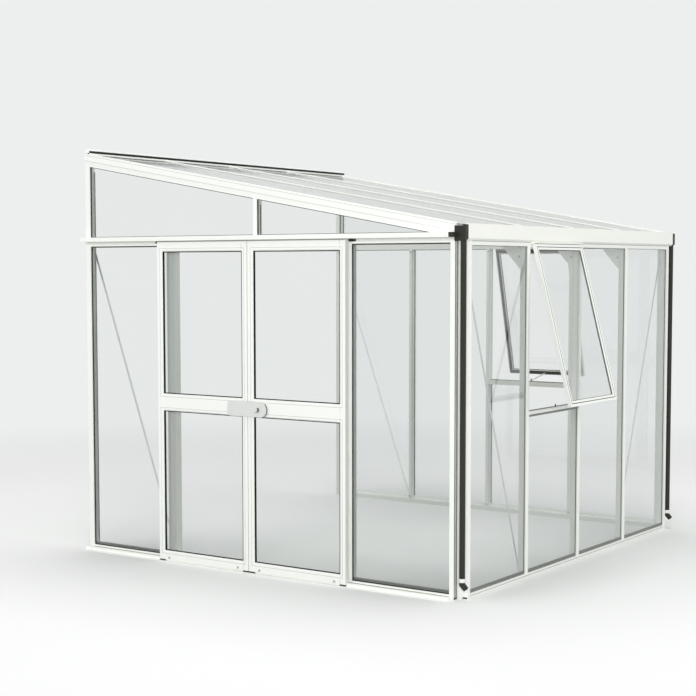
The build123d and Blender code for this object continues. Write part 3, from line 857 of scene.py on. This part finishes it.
@dataclass
class FrameSeams:
    """Seals, seams and painted shade of the fixed frame: posts, corners, sills, heads, ridge and rafters."""

    seam: float = 3.0 * MM  # Width of a fine seam
    stand: float = 0.4 * MM  # How far a seam's filler stands proud
    leg_shade_width: float = 8.0 * MM  # Width of the black strip along the inner leg of an upright, painted shade
    leg_inset: float = 7.0 * MM  # Distance of that strip from the room-side edge
    leg_top_gap: float = 40.0 * MM  # How far below the upright's top that strip ends
    web_half: float = 6.0 * MM  # Half the thickness of a glazing bar's web
    corner_strip: float = 30.0 * MM  # Width of the strip that each corner post shows in each wall
    notch: float = 31.0 * MM  # Depth of the corner post's notch
    recess_shade_width: float = 4.0 * MM  # Width of the slate strip in that notch, painted shade on its return face
    recess_line_width: float = 11.0 * MM  # Width of the grey lines on the notch's gable side, painted shade
    shade_line_shares: tuple[float, ...] = (0.25, 0.75)  # Where those lines run, as shares of the notch's depth
    foot_shadow_height: float = 10.0 * MM  # Height of the black strips at a corner post's foot, a painted shadow
    base_line: float = 20.0 * MM  # Height of the line on the base frame
    ridge_lip: float = 15.0 * MM  # Height of the ridge seal's lip
    rafter_joint: float = 12.0 * MM  # Distance of a rafter's upper joint from its top edge
    rafter_end: float = 60.0 * MM  # How near to a rafter's end a corner counts for its end
    sill_shade_height: float = 13.0 * MM  # Height of the grey strip on the lower part of a window sill, painted shadow under the sill's top
    stop_height: float = 7.0 * MM  # Height of the stop that the closed window rests on; its grey also paints the shade on the sill's back ledge
    stop_inset: float = 22.0 * MM  # Distance of that stop from the sill's outer edge
    head_seam: float = 16.0 * MM  # Height of the seam in a head rail above its lower edge

    def upright(self, sketch: Sketch, at: Vector, top: float, out: Vector, width: float) -> None:
        """Add one upright strip from its foot to its top."""
        sketch.strip(at, Vector((at.x, at.y, top)), out, width, self.stand)

    def lines(self, name: str, finish: Finish, bars: list[tuple[Solid, float]]) -> None:
        """Fine level lines along the outer faces of bars.

        Args:
            name: Name of the piece.
            finish: Its finish.
            bars: The bars, each with the height of its line.
        """
        sketch = Sketch()
        for bar, level in bars:
            sketch.course(bar, level, self.seam, self.stand)
        sketch.piece(name, finish)

    def legs(self) -> None:
        """Black strips on the inner legs of the wall posts and the gable mullions: painted shade along their
        room-side edges.
        """
        sketch = Sketch()
        posts, mullions = solids_of("wall_posts"), solids_of("gable_mullions")
        faces = [(post, post.low.y, TO_FRONT) for post in posts]
        for mullion in mullions:
            y = mullion.middle.y
            faces += [(mullion, y - self.web_half, TO_FRONT), (mullion, y + self.web_half, TO_WALL)]
        for solid, y, out in faces:
            at = Vector((solid.inner_x - solid.inward * self.leg_inset, y, solid.low.z + self.seam))
            self.upright(sketch, at, solid.high.z - self.leg_top_gap, out, self.leg_shade_width)
        sketch.piece("upright_leg_painted_shade", RUBBER)

    def recesses(self) -> None:
        """Painted shade in the notch of each corner post: a slate strip, grey lines, and black strips at its
        foot.
        """
        # seals, beads and pads hold painted shade: the slate strip, the grey lines and the black foot strips
        seals, beads, pads = Sketch(), Sketch(), Sketch()
        for post in solids_of("corner_posts"):
            inward, top, foot = post.inward, post.high.z, post.low.z + self.seam
            to_notch = TO_DOORS * inward
            far = post.high.y - self.corner_strip
            at = Vector((post.outer_x + inward * self.notch, far - self.recess_shade_width / 2, foot))
            self.upright(seals, at, top, to_notch, self.recess_shade_width)
            for share in self.shade_line_shares:
                at = Vector((post.outer_x + inward * self.notch * share, far, foot))
                self.upright(beads, at, top, TO_FRONT, self.recess_line_width)
            side, z = post.inner_x - inward * self.corner_strip, post.low.z + self.foot_shadow_height
            turn = Vector((side, far, z))
            for start, way, out in ((Vector((post.outer_x, far, z)), TO_FAR * inward, TO_FRONT),
                                    (Vector((side, post.low.y, z)), TO_WALL, to_notch)):
                gap = way * self.seam
                pads.strip(start + gap, turn - gap, out, self.foot_shadow_height, self.stand)
        seals.piece("corner_recess_painted_shade", SLATE_RUBBER_AND_SHADE)
        beads.piece("corner_recess_shade_lines", GREY_RUBBER_AND_SHADE)
        pads.piece("corner_foot_painted_shadow", RUBBER)

    def ridge(self) -> None:
        """Black lip above the tops of the bars, and the white apron from there down to the glass."""
        bars = max(solid.high.z for solid in solids_of("rafters") + solids_of("roof_bars"))
        glass = max(solid.high.z for solid in solids_of("roof_panes"))
        for name, finish, foot, top in (("ridge_lip", RUBBER, bars, bars + self.ridge_lip),
                                        ("ridge_apron", WHITE_FRAME, glass, bars)):
            sketch = Sketch()
            sketch.course(solids_of("ridge_seal")[0], (foot + top) / 2, top - foot, self.seam)
            sketch.piece(name, finish)

    def rafter_joint_and_shade_lines(self) -> None:
        """Pale lines along the outer face of each gable rafter, below its upper step and at its foot; the
        one at the foot is painted shade under the step.
        """
        sketch = Sketch()
        for rafter in solids_of("rafters"):
            points = rafter.points
            near = points[np.abs(points[:, 0] - rafter.outer_x) < self.stand]
            for height_of, shift in ((np.max, -self.rafter_joint), (np.min, self.seam)):
                ends = []
                for y in (near[:, 1].min(), near[:, 1].max()):
                    column = near[np.abs(near[:, 1] - y) < self.rafter_end]
                    ends.append(Vector((rafter.outer_x, float(y), float(height_of(column[:, 2])) + shift)))
                gap = (ends[1] - ends[0]).normalized() * self.seam
                sketch.strip(ends[0] + gap, ends[1] - gap, TO_DOORS * rafter.inward, self.seam, self.stand)
        sketch.piece("rafter_joint_and_shade_lines", PALE_RUBBER_AND_SHADE)

    def sills(self) -> None:
        """Grey strips on the window sills: painted shadow on their lower part, and stops on top whose grey
        paints the shade of the back ledge.
        """
        sketch = Sketch()
        for sill in solids_of("window_sills"):
            sketch.course(sill, sill.low.z + self.sill_shade_height / 2, self.sill_shade_height, self.stand)
            start, end, out = sill.course(sill.high.z)
            inset = out * -self.stop_inset
            sketch.strip(start + inset, end + inset, UP, self.seam, self.stop_height)
        sketch.piece("sill_painted_shade", GREY_RUBBER_AND_SHADE)

    def build(self) -> None:
        """Make all seals, seams and painted shade of the fixed frame."""
        half = self.seam / 2
        self.lines("hinge_bar_joints", SLATE_RUBBER_AND_SHADE,
                   [(bar, bar.low.z + half) for bar in solids_of("window_hinge_bars")])
        self.legs()
        self.recesses()
        self.lines("base_lines", GREY_RUBBER_AND_SHADE,
                   [(bar, self.base_line) for bar in solids_of("base_front") + solids_of("base_sides")])
        self.ridge()
        self.rafter_joint_and_shade_lines()
        self.sills()
        rails = [(rail, rail.low.z + self.head_seam) for rail in solids_of("head_rails")]
        # The grey line under the gutter is a painted shadow gap between the gutter's lip and the head.
        under_gutter = [(head, head.high.z - half) for head in solids_of("front_head")]
        self.lines("head_seams_and_gutter_shadow", GREY_RUBBER_AND_SHADE, rails + under_gutter)


@dataclass
class HoodShadowStrip:
    """Grey strip that hangs from the lip of the door track's hood, in front of the leaves: painted shadow
    under the lip.
    """

    width: float = 2.4 * MM  # Thickness of the strip
    drop: float = 7.0 * MM  # How far it hangs down
    edge: float = 1.0 * MM  # How near to the hood's face a corner has to be to belong to the lip

    def build(self) -> None:
        """Make the strip across the doorway."""
        track = solids_of("door_track")[0]
        lip = track.points[track.points[:, 0] < track.low.x + self.edge]
        x, z = track.low.x + self.width / 2, float(lip[:, 2].min())
        leaves = solids_of("front_leaf_stiles") + solids_of("wall_leaf_stiles")
        near, far = min(leaf.low.y for leaf in leaves), max(leaf.high.y for leaf in leaves)
        sketch = Sketch()
        sketch.strip(Vector((x, near, z)), Vector((x, far, z)), DOWN, self.width, self.drop)
        sketch.piece("hood_painted_shadow", GREY_RUBBER_AND_SHADE)


@dataclass
class FrameBolts:
    """Bolts of the frame: at the foot and head of each bar, at the gussets and the braces."""

    bolt: HexBolt  # The bolt head
    end_inset: float = 18.0 * MM  # Distance of a bar's bolts from its ends
    gusset_inset: float = 14.0 * MM  # Distance of a gusset's bolts from its edges
    gusset_pitch: float = 60.0 * MM  # Distance between the bolts of a gusset
    bar_drop: float = 56.0 * MM  # Distance of the highest bolt beside the front bar from the gusset's top
    bar_bolts: int = 3  # Number of bolts beside the front bar
    roof_bolts: int = 2  # Number of bolts under the roof bar
    roof_fall: float = 10.0  # Fall of the roof in degrees
    brace_end: float = 15.0 * MM  # Height of the stretch at a brace's end that its bolt goes through
    brace_inset: float = 10.0 * MM  # Distance of that bolt from the middle of the end

    def bars(self, node: str, out: Vector) -> None:
        """Bolts on the inner flange of the upright bars of a node.

        Args:
            node: The node with the bars.
            out: Direction into the room.
        """
        sketch = Sketch()
        for bar in solids_of(node):
            for height in (bar.low.z + self.end_inset, bar.high.z - self.end_inset):
                at = bar.face(out)
                at.z = height
                self.bolt.add(sketch, at, out)
        sketch.piece(f"{node.removesuffix('s')}_bolts", ZINC)

    def gussets(self) -> None:
        """Bolts on both faces of the gussets, beside the front bar and under the roof bar."""
        sketch = Sketch()
        slope = math.tan(math.radians(self.roof_fall))
        for gusset in solids_of("eaves_gussets"):
            low, high = gusset.low, gusset.high
            y, z = low.y + self.gusset_inset, high.z - self.bar_drop
            places = [(y, z - step * self.gusset_pitch) for step in range(self.bar_bolts)]
            for step in range(1, self.roof_bolts + 1):
                along = y + step * self.gusset_pitch
                places.append((along, high.z - (high.y - along) * slope - self.gusset_inset))
            for x, out in ((low.x, TO_DOORS), (high.x, TO_FAR)):
                for y, z in places:
                    self.bolt.add(sketch, Vector((x, y, z)), out)
        sketch.piece("gusset_bolts", ZINC)

    def brace_ends(self) -> None:
        """Bolts through the flattened ends of the braces, on their room side."""
        sketch = Sketch()
        for brace in solids_of("braces"):
            size, points = brace.high - brace.low, brace.points
            flat = 0 if size.x < size.y else 1
            out = Vector((0, 0, 0))
            out[flat] = 1.0 if brace.middle[flat] < CENTRE[flat] else -1.0
            surface = brace.face(out)[flat]
            for end in (points[:, 2].max(), points[:, 2].min()):
                at = Vector(points[np.abs(points[:, 2] - end) < self.brace_end].mean(0))
                at[flat] = surface
                at += (brace.middle - at).normalized() * self.brace_inset
                at[flat] = surface
                self.bolt.add(sketch, at, out)
        sketch.piece("brace_bolts", ZINC)

    def build(self) -> None:
        """Make all bolts of the frame."""
        self.bars("front_bars", TO_WALL)
        self.bars("door_jambs", TO_FAR)
        self.bars("far_bars", TO_DOORS)
        self.gussets()
        self.brace_ends()


@dataclass
class DoorLeafDress:
    """Fine parts of one door leaf: painted shade on the reveals, guide blocks, their screws and the shoes.
    """

    name: str  # Name of the leaf's nodes
    body: Body  # The body it moves with
    screw: DomeScrew  # The screws of the guide blocks
    block_length: float = 20.0 * MM  # Length of a guide block along the rail
    block_height: float = 18.0 * MM  # Height of a guide block
    block_stand: float = 1.6 * MM  # How far a guide block stands off the rail
    block_inset: float = 40.0 * MM  # Distance of a guide block from the stile
    block_rise: float = 13.0 * MM  # Height of its middle above the leaf's foot
    shoe_width: float = 6.0 * MM  # Width of a shoe across the leaf
    shoe_drop: float = 8.5 * MM  # How far a shoe hangs below the leaf
    shoe_inset: float = 3.8 * MM  # Distance of a shoe's middle from the leaf's outer face
    reveal_width: float = 10.0 * MM  # Width of the slate strip on a stile's inner edge, behind the glass, painted shade of the reveal
    reveal_inset: float = 6.2 * MM  # Distance of that strip from the leaf's room face
    reveal_stand: float = 0.4 * MM  # How far that strip stands proud
    reveal_gap: float = 40.0 * MM  # Distance of that strip from the leaf's foot and top

    @property
    def stiles(self) -> list[Solid]:
        """Both stiles, the one nearer to the front first."""
        return solids_of(f"{self.name}_stiles")

    def reveals(self) -> None:
        """Slate strips on the inner edges of both stiles, behind the glass: painted shade of the reveals."""
        sketch = Sketch()
        near, far = self.stiles
        x = near.high.x - self.reveal_inset
        foot, top = near.low.z + self.reveal_gap, near.high.z - self.reveal_gap
        for y, out in ((near.high.y, TO_WALL), (far.low.y, TO_FRONT)):
            start, end = Vector((x, y, foot)), Vector((x, y, top))
            sketch.strip(start, end, out, self.reveal_width, self.reveal_stand)
        sketch.piece(f"{self.name}_reveal_seals", SLATE_RUBBER_AND_SHADE, self.body)

    def blocks(self) -> None:
        """Guide blocks on the bottom rail, one near each stile, with a screw each."""
        blocks, screws = Sketch(), Sketch()
        near, far = self.stiles
        half = TO_WALL * (self.block_length / 2)
        for y in (near.high.y + self.block_inset, far.low.y - self.block_inset):
            at = Vector((near.low.x, y, near.low.z + self.block_rise))
            blocks.strip(at - half, at + half, TO_DOORS, self.block_height, self.block_stand)
            self.screw.add(screws, at + TO_DOORS * self.block_stand, TO_DOORS)
        blocks.piece(f"{self.name}_guide_blocks", LOCK_PLASTIC, self.body)
        screws.piece(f"{self.name}_guide_screws", NYLON_GREY_AND_SHADE, self.body)

    def shoes(self) -> None:
        """Black shoes that hang below both stiles."""
        sketch = Sketch()
        for stile in self.stiles:
            x, z = stile.low.x + self.shoe_inset, stile.low.z
            sketch.strip(Vector((x, stile.low.y, z)), Vector((x, stile.high.y, z)), DOWN, self.shoe_width,
                         self.shoe_drop)
        sketch.piece(f"{self.name}_shoes", NYLON, self.body)

    def build(self) -> None:
        """Make the leaf's fine parts."""
        self.reveals()
        self.blocks()
        self.shoes()


@dataclass
class MeetingBrush:
    """Brush pile that closes the gap between the two leaves."""

    width: float = 8.0 * MM  # Width of the pile across the leaves
    reach: float = 5.0 * MM  # How far the pile reaches from the wall-side leaf's edge
    above_fin: float = 2.0 * MM  # Distance of its foot from the top of the floor guide's fin

    def build(self) -> None:
        """Make the brush on the edge of the wall-side leaf."""
        stile = min(solids_of("wall_leaf_stiles"), key=lambda solid: solid.low.y)
        start = stile.face(TO_FRONT)
        end = start.copy()
        start.z = max(solid.high.z for solid in solids_of("door_guide")) + self.above_fin
        end.z = stile.high.z
        sketch = Sketch()
        sketch.strip(start, end, TO_FRONT, self.width, self.reach)
        sketch.piece("meeting_brush", RUBBER, Body.WALL_LEAF)


@dataclass
class LockShade:
    """Painted shade round the lock's boss end and its knob: dark skirts on the sides that face the front and
    down.
    """

    end_radius: float = 47.0 * MM  # Radius of the lever's round end
    lever_back: float = 6.0 * MM  # Distance of the lever's back from the leaf
    lever_thickness: float = 10.0 * MM  # Thickness of the lever
    knob_radius: float = 15.0 * MM  # Radius of the knob
    knob_shift: float = 26.0 * MM  # Distance of the knob from the middle of the round end
    knob_length: float = 18.0 * MM  # Length of the knob
    skirt: float = 1.8 * MM  # Thickness of the skirts
    clearance: float = 0.8 * MM  # Distance that the skirts keep from the edges
    # Direction from the axis to the middle of each skirt, the side in shade: to the front and down
    facing: tuple[float, float, float] = (0.0, -1.0, -0.55)
    half_angle: float = 78.0  # Angle that each skirt reaches to either side, in degrees
    steps: int = 18  # Number of faces along a skirt

    def build(self) -> None:
        """Make both skirts on the leaf that carries the lock."""
        lock = Solid(np.concatenate([solid.points for solid in solids_of("door_lock")]))
        middle = Vector((lock.high.x, lock.low.y + self.end_radius, lock.middle.z))
        sketch = Sketch()
        lever = middle + TO_DOORS * (self.lever_back + self.clearance)
        knob = middle + TO_DOORS * (self.lever_back + self.lever_thickness) + TO_WALL * self.knob_shift
        for start, radius, length in ((lever, self.end_radius, self.lever_thickness),
                                      (knob, self.knob_radius, self.knob_length)):
            sketch.band(start, TO_DOORS, Vector(self.facing), radius, self.skirt,
                        length - 2 * self.clearance, self.half_angle, self.steps)
        sketch.piece("lock_painted_shade", NYLON_GREY_AND_SHADE, Body.FRONT_LEAF)


@dataclass
class JambBlock:
    """Black seal block on the jamb beside each outer edge of the closed leaves, under the hood."""

    length: float = 44.0 * MM  # Length of the block along the wall of the doorway
    height: float = 16.0 * MM  # Height of the block
    depth: float = 15.0 * MM  # How far it stands off the jamb
    above_leaf: float = 2.0 * MM  # How far its top stands above the leaf's top

    def build(self) -> None:
        """Make the block at each side of the doorway."""
        x = solids_of("door_track")[0].high.x
        leaves = solids_of("front_leaf_stiles") + solids_of("wall_leaf_stiles")
        front, wall = min(leaf.low.y for leaf in leaves), max(leaf.high.y for leaf in leaves)
        z = leaves[0].high.z + self.above_leaf - self.height / 2
        sketch = Sketch()
        for y in (front - self.length, wall):
            start, end = Vector((x, y, z)), Vector((x, y + self.length, z))
            sketch.strip(start, end, TO_DOORS, self.height, self.depth)
        sketch.piece("jamb_blocks", RUBBER)


@dataclass
class StayPins:
    """Pegs on the window sills that hold the stays."""

    radius: float = 4.0 * MM  # Radius of a peg
    height: float = 20.0 * MM  # Height of a peg
    flange: float = 9.0 * MM  # Radius of the peg's foot
    flange_height: float = 2.0 * MM  # Thickness of the foot
    foot_rise: float = 4.0 * MM  # Height of the foot above the stay's lower edge
    inset: float = 18.0 * MM  # Distance of the peg from the stay's sill end
    sides: int = 12  # Number of sides

    def build(self) -> None:
        """Make one peg through the end of each stay."""
        sketch = Sketch()
        profile = [
            (self.flange, 0.0), (self.flange, self.flange_height), (self.radius, self.flange_height),
            (self.radius, self.height - self.radius / 2), (self.radius / 2, self.height),
        ]
        for stay in solids_of("window_stays"):
            at, size = stay.middle, stay.high - stay.low
            along = 0 if size.x > size.y else 1
            inward = 1 if at[along] < CENTRE[along] else -1
            at[along] = (stay.high if inward > 0 else stay.low)[along] - inward * self.inset
            at.z = stay.low.z + self.foot_rise
            sketch.lathe(at, UP, profile, self.sides)
        sketch.piece("stay_pins", NYLON)


@dataclass(frozen=True)
class Lamp:
    """Large soft square lamp; no reflection and no pane shows it."""

    name: str  # Name of the lamp
    place: tuple[float, float, float]  # Where its middle is
    side: float  # Side of its square
    watts: float  # Its power
    target: tuple[float, float, float] = (0.0, 0.0, 1.1)  # The point that it faces

    def build(self) -> None:
        """Hang the lamp."""
        data = bpy.data.lights.new(self.name, "AREA")
        data.size = self.side
        data.energy = self.watts
        made = add_object(self.name, data)
        made.location = self.place
        made.rotation_mode = "QUATERNION"
        made.rotation_quaternion = (Vector(self.target) - Vector(self.place)).to_track_quat("-Z", "Y")
        made.visible_glossy = False
        made.visible_transmission = False


@dataclass
class Studio:
    """Plain pale studio: floor, world, soft lamps and the camera."""

    backdrop: str = "#EDEFEE"  # Colour that the eye sees behind the object
    floor: str = "#F6F7F6"  # Colour of the floor near the object
    floor_bounce: str = "#A6A8A6"  # Colour of the light that the floor throws back on the object
    sky: str = "#FFFFFF"  # Colour of the even light from all sides
    ambient: float = 0.28  # Strength of that light
    floor_half: float = 60.0  # Half the width of the floor
    clear_from: float = 3.2  # Distance from the object where the floor starts to fade to the backdrop
    clear_to: float = 9.0  # Distance where it has faded
    # Key over the camera's left, side on the door side, fill on its right, and top
    lamps: tuple[Lamp, ...] = (
        Lamp("key_lamp", (-18.5, -12.0, 4.6), side=10.0, watts=3080.0),
        Lamp("side_lamp", (-14.0, 6.0, 4.0), side=6.0, watts=390.0),
        Lamp("fill_lamp", (3.0, -20.0, 5.0), side=10.0, watts=1100.0),
        Lamp("top_lamp", (0.0, 0.0, 13.0), side=12.0, watts=1180.0),
    )
    yaw: float = 55.36  # Compass angle of the view from +Y towards +X, in degrees
    pitch: float = 4.23  # How far the camera looks down, in degrees
    roll: float = -0.046  # Turn of the camera about its view, in degrees
    place: tuple[float, float, float] = (-8.8981, -5.5904, 1.8997)  # Where the camera stands
    focal_px: float = 1508.7  # Focal length in pixels of the photograph
    horizon_shift_px: float = 30.5  # How far the middle of the lens lies below the middle of the picture

    def seen(self, tree: NodeTree) -> NodeSocket:
        """Socket that is 1 where the eye meets a surface directly, in a reflection or through glass."""
        return ray_is(tree, "Camera", "Glossy", "Transmission")

    def build_world(self) -> None:
        """Even light from all sides, and the backdrop's own colour for the eye."""
        world = bpy.data.worlds.new("studio_world")
        bpy.context.scene.world = world
        tree = empty_tree(world)
        light = add_node(tree, "ShaderNodeBackground", {"Color": linear(self.sky), "Strength": self.ambient})
        shown = add_node(tree, "ShaderNodeBackground", {"Color": linear(self.backdrop), "Strength": 1.0})
        mix = add_node(tree, "ShaderNodeMixShader",
                       links={0: self.seen(tree), 1: light.outputs[0], 2: shown.outputs[0]})
        add_node(tree, "ShaderNodeOutputWorld", links={"Surface": mix.outputs[0]})

    def floor_material(self) -> Material:
        """Matt floor near the object that fades to the backdrop further out.

        Returns:
            The floor's material.
        """
        made = bpy.data.materials.new("studio_floor")
        tree = empty_tree(made)
        place = add_node(tree, "ShaderNodeTexCoord").outputs["Object"]
        away = add_node(tree, "ShaderNodeVectorMath", {"operation": "LENGTH"}, {0: place})
        fade = add_node(tree, "ShaderNodeMapRange",
                        {"From Min": self.clear_from, "From Max": self.clear_to,
                         "interpolation_type": "SMOOTHSTEP"},
                        {"Value": away.outputs["Value"]})
        share = add_node(tree, "ShaderNodeMath", {"operation": "MULTIPLY"},
                         {0: fade.outputs["Result"], 1: self.seen(tree)})
        tone = add_node(tree, "ShaderNodeMix",
                        {"data_type": "RGBA", 6: linear(self.floor_bounce), 7: linear(self.floor)},
                        {0: self.seen(tree)})
        matt = add_node(tree, "ShaderNodeBsdfDiffuse", links={"Color": tone.outputs[2]})
        plain = add_node(tree, "ShaderNodeEmission", {"Color": linear(self.backdrop)})
        mix = add_node(tree, "ShaderNodeMixShader",
                       links={0: share.outputs[0], 1: matt.outputs[0], 2: plain.outputs[0]})
        add_node(tree, "ShaderNodeOutputMaterial", links={"Surface": mix.outputs[0]})
        return made

    def build_floor(self) -> None:
        """A large flat floor at ground level."""
        half = self.floor_half
        corners = [(-half, -half, 0), (half, -half, 0), (half, half, 0), (-half, half, 0)]
        mesh = bpy.data.meshes.new("studio_floor")
        mesh.from_pydata(corners, [], [(0, 1, 2, 3)])
        mesh.materials.append(self.floor_material())
        floor = add_object("studio_floor", mesh)

    def build_camera(self) -> None:
        """The camera at the photograph's angle."""
        data = bpy.data.cameras.new("photo_camera")
        data.sensor_width = SENSOR_MM
        data.lens = self.focal_px * SENSOR_MM / PHOTO_SIDE_PX
        data.shift_y = self.horizon_shift_px / PHOTO_SIDE_PX
        camera = add_object("photo_camera", data)
        yaw, pitch = math.radians(self.yaw), math.radians(self.pitch)
        level = math.cos(pitch)
        look = Vector((math.sin(yaw) * level, math.cos(yaw) * level, -math.sin(pitch)))
        camera.location = self.place
        camera.rotation_mode = "QUATERNION"
        camera.rotation_quaternion = look.to_track_quat("-Z", "Y") @ Quaternion(UP, math.radians(self.roll))
        bpy.context.scene.camera = camera

    def build(self) -> None:
        """Set up the whole studio."""
        self.build_world()
        self.build_floor()
        for lamp in self.lamps:
            lamp.build()
        self.build_camera()
        bpy.context.scene.view_settings.view_transform = "Standard"


def dress_nodes() -> None:
    """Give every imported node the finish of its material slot."""
    for part in frame["record"]["subparts"]:
        node = frame["nodes"][part["node"]]
        finish = FINISH_BY_NODE.get(part["node"], FINISH_BY_SLOT[Slot(part["material_slot"])])
        node.data.materials.clear()
        node.data.materials.append(finish.material())
        log.info("%s: %s", part["node"], finish.name)


def seal_panes() -> None:
    """Lay the seals round the panes, and the strips of painted shade round and along them."""
    gable_seals = GlazingSeals(RUBBER, "seals", width=4.5 * MM, height=6.0 * MM, faces=(Face.OUTER,))
    gable_room_seals = GlazingSeals(GREY_RUBBER_AND_SHADE, "room_seals", width=3.0 * MM, height=3.0 * MM,
                                    faces=(Face.ROOM,))
    for node in ("door_side_panes", "gable_top_panes", "far_side_panes"):
        gable_seals.build(node)
        gable_room_seals.build(node)
    GlazingSeals(GREY_RUBBER_AND_SHADE, "seals", width=3.0 * MM, height=3.0 * MM).build("front_panes")
    GlazingSeals(SLATE_RUBBER_AND_SHADE, "seals", width=3.5 * MM, height=3.0 * MM).build("window_panes")
    GlazingSeals(GREY_RUBBER_AND_SHADE, "seals", width=3.0 * MM, height=1.0 * MM).build("roof_panes")
    # The leaf beads stand tall, so their black also covers the stiles' return faces: real seals, and painted
    # shade on those faces.
    leaf_seals_and_shade = GlazingSeals(RUBBER, "seals", width=6.0 * MM, height=6.5 * MM)
    # Pale strips in the leaves' bead joints: painted shade in the joints' grooves.
    leaf_joint_shade = FrameStrips(PALE_RUBBER_AND_SHADE, "bead_joint_painted_shade", reach=18.0 * MM, frame_depth=28.0 * MM)
    for trim in (leaf_seals_and_shade, leaf_joint_shade):
        trim.build("wall_leaf_panes", Body.WALL_LEAF)
        trim.build("front_leaf_panes", Body.FRONT_LEAF)
    # Slate strips in the sashes' bead joints: painted shade in the joints' grooves.
    sash_joint_shade = FrameStrips(SLATE_RUBBER_AND_SHADE, "bead_joint_painted_shade", reach=14.0 * MM, frame_depth=20.0 * MM,
                              width=5.0 * MM)
    sash_joint_shade.build("window_panes")
    # A wide slate strip on the room side of each sash: painted shade.
    sash_room_painted_shade = FrameStrips(SLATE_RUBBER_AND_SHADE, "sash_room_painted_shade", reach=6.0 * MM, frame_depth=20.0 * MM,
                                width=24.0 * MM, face=Face.ROOM)
    sash_room_painted_shade.build("window_panes")
    # Grey strips at the panes' feet and on the door side's tops: painted shade.
    PaneEdgeShade(GREY_RUBBER_AND_SHADE, "foot_painted_shade", rise=20.0 * MM).build("front_panes")
    for node in ("door_side_panes", "far_side_panes"):
        PaneEdgeShade(PALE_RUBBER_AND_SHADE, "foot_painted_shade", rise=18.0 * MM).build(node)
    PaneEdgeShade(SLATE_RUBBER_AND_SHADE, "top_painted_shade", rise=8.0 * MM, face=Face.OUTER).build("door_side_panes")


def main() -> None:
    """Dress the frame, add the fine pieces and set up the studio."""
    logging.basicConfig(level=logging.INFO, format="%(message)s")
    dress_nodes()
    seal_panes()
    FrameSeams().build()
    HoodShadowStrip().build()
    FrameBolts(HexBolt()).build()
    DoorLeafDress("wall_leaf", Body.WALL_LEAF, DomeScrew()).build()
    DoorLeafDress("front_leaf", Body.FRONT_LEAF, DomeScrew()).build()
    MeetingBrush().build()
    LockShade().build()
    JambBlock().build()
    StayPins().build()
    Studio().build()


if __name__ == "__main__":
    main()
